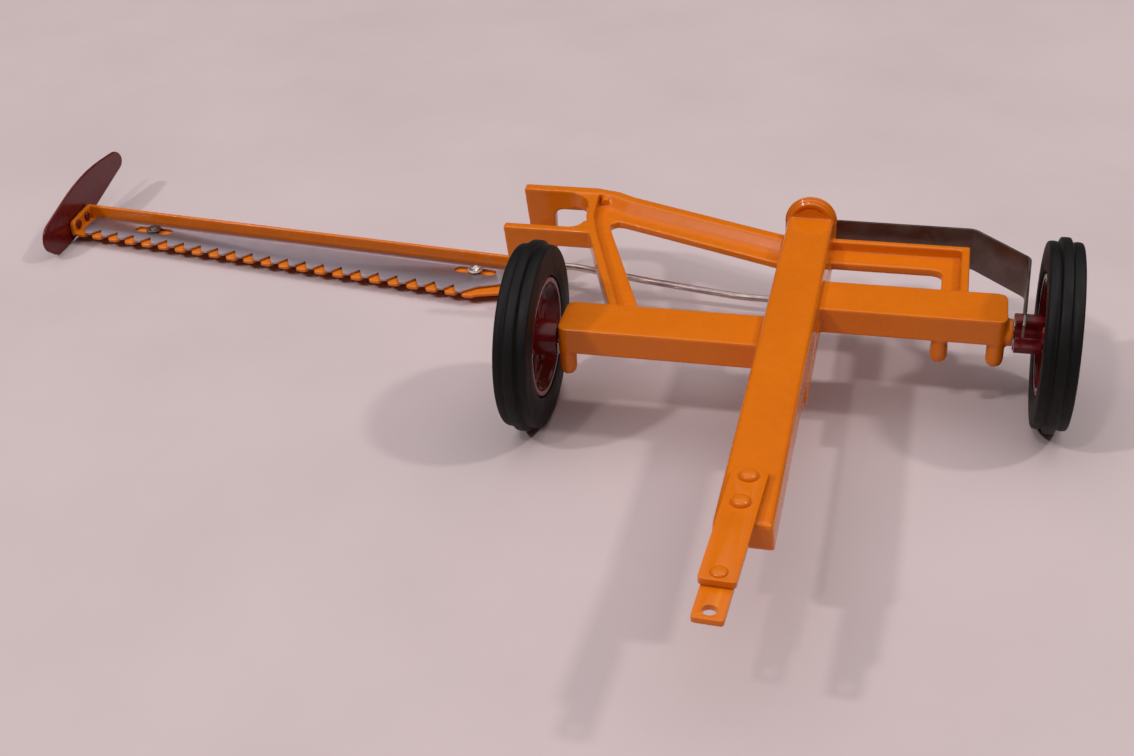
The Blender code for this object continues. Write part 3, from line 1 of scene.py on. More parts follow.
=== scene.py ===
"""Looks of a cast-metal scale model of a pull-type sickle-bar mower, on a pale floor.

Each piece of the frame gets its softened skin and its finish here. Run as a script it makes every
piece in order; its panel in the 3D view's sidebar makes them one by one.
"""

import json
import math
from functools import partial

import bmesh
import bpy
from mathutils import Matrix, Vector, noise


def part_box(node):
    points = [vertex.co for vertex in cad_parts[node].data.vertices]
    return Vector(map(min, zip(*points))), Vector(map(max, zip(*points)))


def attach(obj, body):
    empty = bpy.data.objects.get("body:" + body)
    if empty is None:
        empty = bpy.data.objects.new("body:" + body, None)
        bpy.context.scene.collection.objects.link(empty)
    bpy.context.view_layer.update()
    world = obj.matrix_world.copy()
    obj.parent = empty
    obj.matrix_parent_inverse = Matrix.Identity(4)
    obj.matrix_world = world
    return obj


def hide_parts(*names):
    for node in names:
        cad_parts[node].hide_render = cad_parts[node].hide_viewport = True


bl_info = {
    "name": "Pull-type mower model",
    "version": (1, 0, 0),
    "blender": (4, 5, 0),
    "location": "3D View > Sidebar > Mower",
    "description": "Makes the pieces and finishes of a cast-metal scale model of a mower",
    "category": "Object",
}

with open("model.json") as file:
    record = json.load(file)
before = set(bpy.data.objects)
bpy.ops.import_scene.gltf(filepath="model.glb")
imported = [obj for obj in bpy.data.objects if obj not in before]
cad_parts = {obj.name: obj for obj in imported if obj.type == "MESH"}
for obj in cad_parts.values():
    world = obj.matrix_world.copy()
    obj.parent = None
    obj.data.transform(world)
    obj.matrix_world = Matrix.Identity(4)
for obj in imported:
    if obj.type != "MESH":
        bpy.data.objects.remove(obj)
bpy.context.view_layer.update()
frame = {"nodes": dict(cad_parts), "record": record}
MM = 0.001

# Real sizes of the finishes' patterns
CASTING_WAVE = 14 * MM       # slow waves of the sand casting under the enamel
BRUSH_MARK = 2.6 * MM
PAINT_PIT = 1.1 * MM
SKIN_RIPPLE = 0.8 * MM       # ripples of the enamel's clear skin
CHIP_SPACING = 1.3 * MM
TREAD_MARK = 0.35 * MM
SCUFF = 5 * MM
RUBBER_PORE = 0.5 * MM
STAIN = 7 * MM
LINES_ALONG_X = (0.06, 1.0, 1.0)  # how the lines of worked steel are drawn out
FLOOR_CLOUD = 90 * MM
FLOOR_GRAIN = 3 * MM

BODY_OF = {node: body for body, nodes in frame["record"]["behaviour"]["bodies"].items() for node in nodes}


def to_linear(text):
    """An sRGB hex colour as linear RGBA."""
    values = [int(text[place:place + 2], 16) / 255 for place in (1, 3, 5)]
    linear = [value / 12.92 if value <= 0.04045 else ((value + 0.055) / 1.055) ** 2.4 for value in values]
    return (*linear, 1.0)


def colour(name, text, description):
    return bpy.props.FloatVectorProperty(name=name, description=description, subtype="COLOR", size=4,
                                         min=0.0, max=1.0, default=to_linear(text))


def length(name, value, description):
    return bpy.props.FloatProperty(name=name, description=description, default=value, min=0.0,
                                   precision=5, unit="LENGTH")


class MowerSizes(bpy.types.PropertyGroup):
    """Sizes of the skins, in metres."""
    cast_grain: length("Casting grain", 0.36 * MM, "Mesh size of the big casting's skin")
    cast_rounding: bpy.props.IntProperty(name="Casting rounding", default=7, min=0, max=40,
                                         description="Smoothing passes that round the casting's edges")
    bar_grain: length("Bar grain", 0.34 * MM, "Mesh size of the cutter bar's skin")
    bar_rounding: bpy.props.IntProperty(name="Bar rounding", default=5, min=0, max=40,
                                        description="Smoothing passes that round the bar's edges")
    star_grain: length("Star grain", 0.22 * MM, "Mesh size of the drive star's skin")
    strap_edge: length("Strap edge", 0.5 * MM, "Rounding of the hitch's painted edges")
    board_grain: length("Board grain", 0.22 * MM, "Mesh size of the swath board's skin")
    blade_edge: length("Blade edge", 0.09 * MM, "Rounding of the knife's and the rocker's sheared edges")
    pin_edge: length("Pin edge", 0.15 * MM, "Rounding of the pins and washers")
    wire_swell: length("Wire swell", 0.28 * MM, "How far the wire's skin stands outside its solid")
    shoulder_drop: length("Tyre shoulder drop", 1.3 * MM, "How far the tread lies under the middle rib")
    rib_half_width: length("Tyre rib half width", 1.3 * MM, "Half the middle rib's width at its crest")
    wheel_segments: bpy.props.IntProperty(name="Wheel segments", default=112, min=24, max=256,
                                          description="Facets round a wheel")
    spoke_count: bpy.props.IntProperty(name="Spokes", default=8, min=3, max=24,
                                       description="Spokes of a wheel disc")
    rivet_segments: bpy.props.IntProperty(name="Rivet segments", default=32, min=8, max=64,
                                          description="Facets round a rivet head")


class MowerColours(bpy.types.PropertyGroup):
    """Colours of the finishes."""
    orange: colour("Orange enamel", "#DB700C", "Face colour of the orange enamel")
    # The deep colour below gives random darker patches and the painted shade in the inner corners.
    orange_deep_and_shade: colour("Orange enamel, pooled", "#A84402", "Colour where the orange enamel lies thick")
    # The thin colour below gives random lighter brush marks and the painted highlight on the outer edges.
    orange_light_and_highlight: colour("Orange enamel, thin", "#E0861C", "Colour where the orange enamel lies thin")
    red: colour("Dark red enamel", "#621013", "Face colour of the dark red enamel")
    # The deep colour below gives random darker patches and the painted shade in the inner corners.
    red_deep_and_shade: colour("Dark red enamel, pooled", "#3A0709", "Colour where the red enamel lies thick")
    # The thin colour below gives random lighter brush marks and the painted highlight on the outer edges.
    red_light_and_highlight: colour("Dark red enamel, thin", "#7C2424", "Colour where the red enamel lies thin")
    primer: colour("Chips", "#2A140C", "Colour of the small chips in the enamel")
    rubber: colour("Rubber", "#0B0909", "Colour of the clean rubber")
    rubber_dusty: colour("Rubber, scuffed", "#201B1C", "Colour of the scuffed rubber")
    sheet_steel: colour("Sheet steel", "#B4A3AB", "Colour of the knife's steel")
    sheet_stain: colour("Sheet steel, stained", "#A7979F", "Colour of the stains on the knife's steel")
    blued_steel: colour("Blued steel", "#75655E", "Colour of the rocker's blued steel")
    blued_worn: colour("Blued steel, worn", "#857570", "Colour of the blued steel where it is rubbed")
    wire_steel: colour("Wire steel", "#D2C3B8", "Colour of the drawn wire")
    floor: colour("Floor", "#CBBABD", "Colour of the floor and the backdrop")


# Nodes of materials and of geometry

NOISE = "ShaderNodeTexNoise"
RANGE = "ShaderNodeMapRange"
MIX = "ShaderNodeMix"
BUMP = "ShaderNodeBump"
MATH = "ShaderNodeMath"
COLOURS = {"data_type": "RGBA"}


def add_node(tree, kind, settings=None, inputs=()):
    """Adds a node with its settings and its inputs, by name or as a tuple from the top down.

    An input gets a number or colour, or a link from a socket or a node, and a list gives several
    links. A node stands for its first open output.
    """
    node = tree.nodes.new(kind)
    for name, value in (settings or {}).items():
        setattr(node, name, value)
    if not isinstance(inputs, dict):
        shown = [place for place, socket in enumerate(node.inputs) if socket.enabled]
        inputs = dict(zip(shown, inputs))
    for name, value in inputs.items():
        for source in value if isinstance(value, list) else [value]:
            if isinstance(source, bpy.types.Node):
                source = next(socket for socket in source.outputs if socket.enabled)
            if isinstance(source, bpy.types.NodeSocket):
                tree.links.new(source, node.inputs[name])
            else:
                node.inputs[name].default_value = source
    return node


def new_material(name):
    """An empty material, and the call that adds nodes to it."""
    finish = bpy.data.materials.new(name)
    finish.use_nodes = True
    finish.node_tree.nodes.clear()
    return finish, partial(add_node, finish.node_tree)


# The deep colour gives random darker patches and the painted shade in inner corners; the thin colour gives
# random lighter brush marks and the painted highlight on outer edges.
def enamel(name, face, deep_and_shade, thin, primer, chip_level):
    """Brushed stove enamel on a casting.

    It gives a deep gloss under a hard clear skin, a slow waviness from the sand casting under it,
    random darker and lighter patches, a painted shade that darkens the inner corners, a painted
    highlight that lightens the outer edges, and a few pinhead chips. A chip level of 1 leaves no chips.
    """
    finish, add = new_material(name)
    place = add("ShaderNodeTexCoord").outputs["Object"]
    corner = add("ShaderNodeNewGeometry").outputs["Pointiness"]
    drift = add(NOISE, inputs={"Vector": place, "Scale": 1 / CASTING_WAVE, "Detail": 2.0})
    brush = add(NOISE, inputs={"Vector": place, "Scale": 1 / BRUSH_MARK, "Detail": 4.0})
    speck = add(NOISE, inputs={"Vector": place, "Scale": 1 / CHIP_SPACING, "Detail": 1.0})
    pits = add(NOISE, inputs={"Vector": place, "Scale": 1 / PAINT_PIT, "Detail": 2.0})
    ripple = add(NOISE, inputs={"Vector": place, "Scale": 1 / SKIN_RIPPLE, "Detail": 1.0})
    tone = add(MIX, COLOURS, (add(RANGE, inputs=(drift, 0.3, 0.75, 0.0, 0.14)), face, deep_and_shade))
    tone = add(MIX, COLOURS, (add(RANGE, inputs=(brush, 0.42, 0.8, 0.0, 0.07)), tone, thin))
    # Painted shade: inner corners, where the pointiness is low, are darkened towards the deep colour.
    tone = add(MIX, COLOURS, (add(RANGE, inputs=(corner, 0.49, 0.42, 0.0, 0.8)), tone, deep_and_shade))
    # Painted highlight: outer edges, where the pointiness is high, are lightened towards the thin colour.
    tone = add(MIX, COLOURS, (add(RANGE, inputs=(corner, 0.53, 0.62, 0.0, 0.5)), tone, thin))
    chip = add(MATH, {"operation": "MULTIPLY"}, (
        add(RANGE, inputs=(speck, chip_level, chip_level + 0.02)), add(RANGE, inputs=(corner, 0.56, 0.6))))
    wave = add(BUMP, inputs={"Height": drift, "Distance": 0.5 * MM, "Strength": 0.25})
    # The clear skin has its own finer waviness, which breaks the lamps' highlights into glints.
    shader = add("ShaderNodeBsdfPrincipled", inputs={
        "Base Color": add(MIX, COLOURS, (chip, tone, primer)),
        "Roughness": add(RANGE, inputs=(brush, 0.3, 0.7, 0.2, 0.34)),
        "IOR": 1.22,
        "Normal": add(BUMP, inputs={
            "Height": pits, "Distance": 0.05 * MM, "Strength": 0.1, "Normal": wave}),
        "Coat Weight": 0.55, "Coat Roughness": 0.12, "Coat IOR": 1.4,
        "Coat Normal": add(BUMP, inputs={
            "Height": ripple, "Distance": 0.05 * MM, "Strength": 0.25, "Normal": wave})})
    add("ShaderNodeOutputMaterial", inputs={"Surface": shader})
    return finish


def rubber(name, clean, scuffed, centre):
    """Moulded solid rubber: satin black, with fine marks round the tread and greyer scuffs."""
    finish, add = new_material(name)
    place = add("ShaderNodeTexCoord").outputs["Object"]
    local = add("ShaderNodeMapping", inputs={"Vector": place, "Location": -centre})
    split = add("ShaderNodeSeparateXYZ", inputs=(local,)).outputs
    angle = add(MATH, {"operation": "ARCTAN2"}, (split["Z"], split["Y"]))
    spoke = add("ShaderNodeCombineXYZ", inputs={"Y": split["Y"], "Z": split["Z"]})
    radius = add("ShaderNodeVectorMath", {"operation": "LENGTH"}, (spoke,))
    # The marks are as wide as TREAD_MARK and four times that per radian round the wheel, 6 to 8 mm.
    rolled = add("ShaderNodeCombineXYZ", inputs=(
        split["X"], radius, add(MATH, {"operation": "MULTIPLY"}, (angle, 4 * TREAD_MARK))))
    marks = add(NOISE, inputs={"Vector": rolled, "Scale": 1 / TREAD_MARK, "Detail": 3.0})
    blots = add(NOISE, inputs={"Vector": place, "Scale": 1 / SCUFF, "Detail": 5.0, "Roughness": 0.6})
    pores = add(NOISE, inputs={"Vector": place, "Scale": 1 / RUBBER_PORE, "Detail": 3.0})
    scuff = add(MATH, {"operation": "MULTIPLY"}, (
        add(RANGE, inputs=(marks, 0.5, 0.75)), add(RANGE, inputs=(blots, 0.4, 0.7))))
    wave = add(BUMP, inputs={"Height": marks, "Distance": 0.08 * MM, "Strength": 0.3})
    shader = add("ShaderNodeBsdfPrincipled", inputs={
        "Base Color": add(MIX, COLOURS, (scuff, clean, scuffed)),
        "Roughness": add(RANGE, inputs=(blots, 0.3, 0.7, 0.52, 0.66)),
        "IOR": 1.3,
        "Normal": add(BUMP, inputs={
            "Height": pores, "Distance": 0.05 * MM, "Strength": 0.25, "Normal": wave})})
    add("ShaderNodeOutputMaterial", inputs={"Surface": shader})
    return finish


def bare_metal(name, clean, stained, line_width, smooth, rough):
    """Bare worked steel: a dull metal shine with lines along the sheet or wire, and blotchy stains.

    Real rolling and drawing lines are finer; these are as coarse as they need to be to show.
    """
    finish, add = new_material(name)
    place = add("ShaderNodeTexCoord").outputs["Object"]
    drawn = add("ShaderNodeVectorMath", {"operation": "MULTIPLY"}, (place, LINES_ALONG_X))
    lines = add(NOISE, inputs={"Vector": drawn, "Scale": 1 / line_width, "Detail": 3.0, "Roughness": 0.6})
    stain = add(NOISE, inputs={"Vector": place, "Scale": 1 / STAIN, "Detail": 5.0, "Roughness": 0.62})
    tone = add(MIX, COLOURS, (add(RANGE, inputs=(stain, 0.42, 0.68)), clean, stained))
    shader = add("ShaderNodeBsdfPrincipled", inputs={
        "Base Color": add(MIX, COLOURS, (add(RANGE, inputs=(lines, 0.52, 0.8, 0.0, 0.45)), tone, stained)),
        "Metallic": 1.0,
        "Roughness": add(RANGE, inputs=(stain, 0.35, 0.7, smooth, rough)),
        "Normal": add(BUMP, inputs={"Height": lines, "Distance": 0.02 * MM, "Strength": 0.35})})
    add("ShaderNodeOutputMaterial", inputs={"Surface": shader})
    return finish


def finish_named(name):
    """The finish of that name, made on its first use."""
    if name in bpy.data.materials:
        return bpy.data.materials[name]
    tones = bpy.context.scene.mower_colours
    if name == "stove_enamel_orange":
        return enamel(name, tones.orange, tones.orange_deep_and_shade, tones.orange_light_and_highlight, tones.primer, 0.75)
    if name == "stove_enamel_dark_red":
        return enamel(name, tones.red, tones.red_deep_and_shade, tones.red_light_and_highlight, tones.primer, 0.76)
    if name.startswith("moulded_rubber_"):
        low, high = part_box(name.replace("moulded_rubber", "tyre"))
        return rubber(name, tones.rubber, tones.rubber_dusty, (low + high) / 2)
    # Rolled sheet: a pale satin grey, so the teeth read against the orange lobes under them.
    if name == "rolled_sheet_steel":
        return bare_metal(name, tones.sheet_steel, tones.sheet_stain, 0.3 * MM, 0.42, 0.5)
    # Heat-blued strip: a dark brownish shine, paler where it is rubbed.
    if name == "blued_strip_steel":
        return bare_metal(name, tones.blued_steel, tones.blued_worn, 0.4 * MM, 0.36, 0.5)
    # Drawn wire: the brightest metal here, with one long highlight along it.
    if name == "drawn_steel_wire":
        return bare_metal(name, tones.wire_steel, tones.sheet_steel, 0.25 * MM, 0.34, 0.5)
    raise RuntimeError(f"there is no finish named {name}")


# Meshes

def link_mesh(name, shape):
    """Makes a smooth-shaded object at the origin from a bmesh."""
    mesh = bpy.data.meshes.new(name)
    shape.to_mesh(mesh)
    shape.free()
    mesh.shade_smooth()
    piece = bpy.data.objects.new(name, mesh)
    bpy.context.scene.collection.objects.link(piece)
    return piece


def merged_copy(node):
    """The CAD node's shape with its loose triangles joined."""
    shape = bmesh.new()
    shape.from_mesh(frame["nodes"][node].data)
    bmesh.ops.remove_doubles(shape, verts=shape.verts, dist=0.001 * MM)
    return shape


def settle(piece):
    """Turns the modifiers' result into the piece's plain mesh."""
    bpy.context.view_layer.update()
    shown = piece.evaluated_get(bpy.context.evaluated_depsgraph_get())
    mesh = bpy.data.meshes.new_from_object(shown, preserve_all_data_layers=True,
                                           depsgraph=bpy.context.evaluated_depsgraph_get())
    mesh.name = piece.name
    piece.modifiers.clear()
    piece.data = mesh
    return piece


def dress(piece, finish, *nodes, alone=False):
    """Gives a piece its material and puts it in the place of the CAD nodes, or beside them if alone."""
    piece.data.materials.clear()
    piece.data.materials.append(finish_named(finish))
    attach(piece, BODY_OF[nodes[0]])
    if not alone:
        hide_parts(*nodes)
    return piece


def plug(shape, low, high):
    """Adds a round bar along Y between two corners of a box, to fill a pin's hole in a casting."""
    middle = (low + high) / 2
    stand = Matrix.Translation(middle) @ Matrix.Rotation(math.radians(90), 4, "X")
    bmesh.ops.create_cone(shape, cap_ends=True, segments=24, radius1=(high.x - low.x) / 2,
                          radius2=(high.x - low.x) / 2, depth=high.y - low.y, matrix=stand)


def cast_skin(node, finish, grain_size, passes, kept, plugs=()):
    """A casting's skin: a fine even mesh, relaxed so that edges round and inner corners fill.

    Passes are the rounds of relaxing, and kept is the share of the faces that stays.
    """
    shape = merged_copy(node)
    for low, high in plugs:
        plug(shape, low, high)
    piece = link_mesh(f"{node}_skin", shape)
    remesh = piece.modifiers.new("even mesh", "REMESH")
    remesh.mode = "VOXEL"
    remesh.voxel_size = grain_size
    remesh.use_smooth_shade = True
    relax = piece.modifiers.new("relaxed edges", "SMOOTH")
    relax.factor = 0.5
    relax.iterations = passes
    thin = piece.modifiers.new("fewer faces", "DECIMATE")
    thin.ratio = kept
    settle(piece)
    piece.data.shade_smooth()
    return dress(piece, finish, node)


def sheared_skin(node, edge, finish, steps=3):
    """A stamped or turned piece's skin: its own faces with rounded edges."""
    shape = merged_copy(node)
    bmesh.ops.dissolve_limit(shape, angle_limit=math.radians(1), verts=shape.verts, edges=shape.edges)
    piece = link_mesh(f"{node}_skin", shape)
    bevel = piece.modifiers.new("rounded edges", "BEVEL")
    bevel.width = edge
    bevel.segments = steps
    bevel.limit_method = "ANGLE"
    bevel.angle_limit = math.radians(38)
    bevel.harden_normals = True
    settle(piece)
    return dress(piece, finish, node)


def softened(corners, steps=4):
    """A closed section from (a, b, radius) corners, each rounded by an arc."""
    outline = []
    for index, (a, b, radius) in enumerate(corners):
        here = Vector((a, b))
        back = Vector(corners[index - 1][:2]) - here
        ahead = Vector(corners[(index + 1) % len(corners)][:2]) - here
        if radius <= 0:
            outline.append((a, b))
            continue
        half = back.angle(ahead) / 2
        reach = min(radius / math.tan(half), back.length * 0.49, ahead.length * 0.49)
        radius = reach * math.tan(half)
        centre = here + (back.normalized() + ahead.normalized()).normalized() * radius / math.sin(half)
        first = here + back.normalized() * reach - centre
        last = here + ahead.normalized() * reach - centre
        turn = math.atan2(first.x * last.y - first.y * last.x, first.dot(last))
        start = math.atan2(first.y, first.x)
        for step in range(steps + 1):
            angle = start + turn * step / steps
            outline.append((centre.x + radius * math.cos(angle), centre.y + radius * math.sin(angle)))
    return outline


# Geometry nodes

def new_geometry_tree(name, inputs):
    """A geometry node tree, the call that adds nodes to it, and the sockets of its named inputs."""
    tree = bpy.data.node_groups.new(name, "GeometryNodeTree")
    tree.interface.new_socket("Geometry", in_out="INPUT", socket_type="NodeSocketGeometry")
    for label, kind in inputs.items():
        tree.interface.new_socket(label, in_out="INPUT", socket_type=f"NodeSocket{kind}")
    tree.interface.new_socket("Geometry", in_out="OUTPUT", socket_type="NodeSocketGeometry")
    add = partial(add_node, tree)
    return tree, add, add("NodeGroupInput").outputs


def close_tree(add, geometry, material):
    """Ends a tree: real faces instead of instances, and the material on them."""
    real = add("GeometryNodeRealizeInstances", inputs={"Geometry": geometry})
    coloured = add("GeometryNodeSetMaterial", inputs={"Geometry": real, "Material": material})
    add("NodeGroupOutput", inputs={"Geometry": coloured})


def turning_tree():
    """Turns a section round the X axis: each point (x, radius) of the loop becomes a ring."""
    if "turned section" in bpy.data.node_groups:
        return bpy.data.node_groups["turned section"]
    tree, add, given = new_geometry_tree("turned section", {
        "Section Points": "Int", "Segments": "Int", "Centre": "Vector", "Material": "Material"})
    columns = add(MATH, {"operation": "ADD"}, (given["Segments"], 1.0))
    rows = add(MATH, {"operation": "ADD"}, (given["Section Points"], 1.0))
    grid = add("GeometryNodeMeshGrid", inputs={"Vertices X": rows, "Vertices Y": columns})
    # The grid's points are counted column by column within each row. The added half keeps rounding
    # from dropping a point into the row before.
    index = add("GeometryNodeInputIndex")
    middle = add(MATH, {"operation": "ADD"}, (index, 0.5))
    row = add(MATH, {"operation": "FLOOR"}, (add(MATH, {"operation": "DIVIDE"}, (middle, columns)),))
    row_start = add(MATH, {"operation": "MULTIPLY"}, (row, columns))
    column = add(MATH, {"operation": "SUBTRACT"}, (index, row_start))
    turn = add(MATH, {"operation": "MULTIPLY"}, (column, 2 * math.pi))
    angle = add(MATH, {"operation": "DIVIDE"}, (turn, given["Segments"]))
    spot = add("GeometryNodeSampleIndex", {"data_type": "FLOAT_VECTOR"}, {
        "Geometry": given["Geometry"], "Value": add("GeometryNodeInputPosition"),
        "Index": add(MATH, {"operation": "FLOORED_MODULO"}, (row, given["Section Points"]))})
    split = add("ShaderNodeSeparateXYZ", inputs={"Vector": spot}).outputs
    place = add("ShaderNodeCombineXYZ", inputs={
        "X": split["X"],
        "Y": add(MATH, {"operation": "MULTIPLY"}, (
            split["Y"], add(MATH, {"operation": "COSINE"}, (angle,)))),
        "Z": add(MATH, {"operation": "MULTIPLY"}, (
            split["Y"], add(MATH, {"operation": "SINE"}, (angle,))))})
    moved = add("GeometryNodeSetPosition", inputs={
        "Geometry": grid, "Position": place, "Offset": given["Centre"]})
    joined = add("GeometryNodeMergeByDistance", inputs={"Geometry": moved, "Distance": 0.001 * MM})
    smooth = add("GeometryNodeSetShadeSmooth", inputs={"Geometry": joined})
    close_tree(add, smooth, given["Material"])
    return tree


def spokes_tree():
    """Repeats one spoke round the X axis and moves the ring of spokes to the wheel's centre."""
    if "ring of spokes" in bpy.data.node_groups:
        return bpy.data.node_groups["ring of spokes"]
    tree, add, given = new_geometry_tree("ring of spokes", {
        "Count": "Int", "Centre": "Vector", "Material": "Material"})
    spots = add("GeometryNodeMeshLine", inputs={"Count": given["Count"], "Offset": (0, 0, 0)})
    # The half turns the ring so that no spoke stands straight up.
    step = add(MATH, {"operation": "ADD"}, (add("GeometryNodeInputIndex"), 0.5))
    turn = add(MATH, {"operation": "MULTIPLY"}, (step, 2 * math.pi))
    angle = add(MATH, {"operation": "DIVIDE"}, (turn, given["Count"]))
    ring = add("GeometryNodeInstanceOnPoints", inputs={
        "Points": spots, "Instance": given["Geometry"],
        "Rotation": add("ShaderNodeCombineXYZ", inputs={"X": angle})})
    moved = add("GeometryNodeTransform", inputs={"Geometry": ring, "Translation": given["Centre"]})
    close_tree(add, moved, given["Material"])
    return tree


def rivets_tree():
    """Puts an upright domed rivet on each point of the mesh."""
    if "domed rivets" in bpy.data.node_groups:
        return bpy.data.node_groups["domed rivets"]
    tree, add, given = new_geometry_tree("domed rivets", {
        "Head Radius": "Float", "Head Height": "Float", "Shank Radius": "Float", "Shank Length": "Float",
        "Segments": "Int", "Material": "Material"})
    ball = add("GeometryNodeMeshUVSphere", inputs={
        "Segments": given["Segments"], "Rings": 24, "Radius": 1.0})
    # The ball is widened towards its edge, so the head is a button with steep sides and a low crown.
    spot = add("ShaderNodeSeparateXYZ", inputs={"Vector": add("GeometryNodeInputPosition")}).outputs
    height = add(MATH, {"operation": "MULTIPLY"}, (spot["Z"], spot["Z"]))
    level = add(MATH, {"operation": "SUBTRACT"}, (1.0, height))
    out = add(MATH, {"operation": "MAXIMUM"}, (add(MATH, {"operation": "SQRT"}, (level,)), 0.001))
    wider = add(MATH, {"operation": "MULTIPLY"}, (
        given["Head Radius"], add(MATH, {"operation": "POWER"}, (out, -0.45))))
    shaped = add("ShaderNodeCombineXYZ", inputs=(
        add(MATH, {"operation": "MULTIPLY"}, (spot["X"], wider)),
        add(MATH, {"operation": "MULTIPLY"}, (spot["Y"], wider)),
        add(MATH, {"operation": "MULTIPLY"}, (spot["Z"], given["Head Height"]))))
    head = add("GeometryNodeSetPosition", inputs={"Geometry": ball, "Position": shaped})
    shank = add("GeometryNodeMeshCylinder", inputs={
        "Vertices": given["Segments"], "Radius": given["Shank Radius"], "Depth": given["Shank Length"]})
    half = add(MATH, {"operation": "MULTIPLY"}, (given["Shank Length"], -0.5))
    sunk = add("GeometryNodeTransform", inputs={
        "Geometry": shank, "Translation": add("ShaderNodeCombineXYZ", inputs={"Z": half})})
    rivet = add("GeometryNodeJoinGeometry", inputs={"Geometry": [head, sunk]})
    placed = add("GeometryNodeInstanceOnPoints", inputs={"Points": given["Geometry"], "Instance": rivet})
    smooth = add("GeometryNodeSetShadeSmooth", inputs={"Geometry": placed})
    close_tree(add, smooth, given["Material"])
    return tree


def grow(piece, tree, values):
    """Runs a geometry tree on a piece with its named inputs and keeps the result as a plain mesh."""
    change = piece.modifiers.new(tree.name, "NODES")
    change.node_group = tree
    for item in tree.interface.items_tree:
        if item.item_type == "SOCKET" and item.in_out == "INPUT" and item.name in values:
            change[item.identifier] = values[item.name]
    return settle(piece)


def points_object(name, spots):
    """A mesh of loose points."""
    mesh = bpy.data.meshes.new(name)
    mesh.from_pydata(spots, [], [])
    piece = bpy.data.objects.new(name, mesh)
    bpy.context.scene.collection.objects.link(piece)
    return piece


def turned(name, section, segments, centre, finish):
    """A turned piece from a closed section of (x, radius) points."""
    piece = points_object(name, [(x, radius, 0.0) for x, radius in section])
    return grow(piece, turning_tree(), {
        "Section Points": len(section), "Segments": segments, "Centre": centre,
        "Material": finish_named(finish)})


def facing_out(piece):
    """Turns the faces of a closed mesh outwards."""
    shape = bmesh.new()
    shape.from_mesh(piece.data)
    bmesh.ops.recalc_face_normals(shape, faces=shape.faces)
    if shape.calc_volume(signed=True) < 0:
        bmesh.ops.reverse_faces(shape, faces=shape.faces)
    shape.to_mesh(piece.data)
    shape.free()
    return piece


# Wheels

def wheel_place(word):
    """Centre, tyre radius and half width of a wheel, from its CAD tyre."""
    low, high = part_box(f"tyre_{word}")
    return (low + high) / 2, (high.z - low.z) / 2, (high.x - low.x) / 2


def tyre_section(radius, half_width, shoulder_drop, rib_half_width, rim_radius):
    """Closed section of a tyre: raised middle rib, crowned treads, rounded shoulders, flat walls."""
    tread = radius - shoulder_drop
    # One half, from the bead to the crest: radius, place across, rounding of the corner.
    half = [
        (rim_radius + 0.35 * MM, half_width - 0.9 * MM, 0.3 * MM),
        (rim_radius + 0.5 * MM, half_width - 0.35 * MM, 0.4 * MM),
        (rim_radius + 3.2 * MM, half_width, 2.5 * MM),
        (tread - 0.05 * MM, half_width - 0.1 * MM, 0.8 * MM),
        (tread + 0.1 * MM, rib_half_width + 1.9 * MM, 1.5 * MM),
        (tread - 0.2 * MM, rib_half_width + 0.6 * MM, 0.35 * MM),
        (radius - 0.12 * MM, rib_half_width, 0.3 * MM),
        (radius, rib_half_width * 0.55, 0.5 * MM)]
    right = [(across, out, soft) for out, across, soft in half]
    left = [(-across, out, soft) for out, across, soft in reversed(half)]
    return softened(right + left)


RIM_WALL = 1.5 * MM
WEB_HALF = 0.8 * MM
HUB_RADIUS = 5.2 * MM
HUB_BORE = 1.85 * MM
HUB_BACK = 3.2 * MM          # how far the hub stands out of the web on the wheel's outer face


def disc_section(rim, half_width, side, hub_end):
    """Closed section of a wheel disc: rolled rim, sloping barrel, thin web and hub."""
    lip = rim - RIM_WALL
    barrel = lip - 2.2 * MM
    # The rim's corners on one face: radius, depth under the tyre's wall, rounding of the corner.
    rolled = [(rim, 0.9 * MM, 0.3 * MM), (rim - 0.3 * MM, 0.55 * MM, 0.3 * MM),
              (lip, 0.6 * MM, 0.35 * MM), (lip - 0.3 * MM, 1.5 * MM, 0.8 * MM)]
    inner_face = [(radius, half_width - depth, soft) for radius, depth, soft in rolled]
    outer_face = [(radius, depth - half_width, soft) for radius, depth, soft in reversed(rolled)]
    middle = [
        (barrel, WEB_HALF, 1.4 * MM), (HUB_RADIUS + 0.4 * MM, WEB_HALF, 0.9 * MM),
        (HUB_RADIUS - 0.25 * MM, hub_end, 0.5 * MM), (HUB_BORE, hub_end, 0.1 * MM),
        (HUB_BORE, -HUB_BACK, 0.1 * MM), (HUB_RADIUS - 0.8 * MM, -HUB_BACK, 0.5 * MM),
        (HUB_RADIUS, -WEB_HALF, 0.7 * MM), (barrel, -WEB_HALF, 1.4 * MM)]
    return softened([(side * x, radius, soft) for radius, x, soft in inner_face + middle + outer_face])


# Distance from the axle, half width and height of the crest, for a rim of SPOKE_RIM.
SPOKE_STATIONS = (
    (4.6, 1.25, 2.3), (6.0, 0.95, 1.9), (8.5, 0.75, 1.55), (11.0, 0.75, 1.5), (13.2, 0.95, 1.7))
SPOKE_RIM = 17.9 * MM
SPOKE_FOOT = 0.4             # height of the spoke's edges inside the web
SPOKE_SIDES = 8


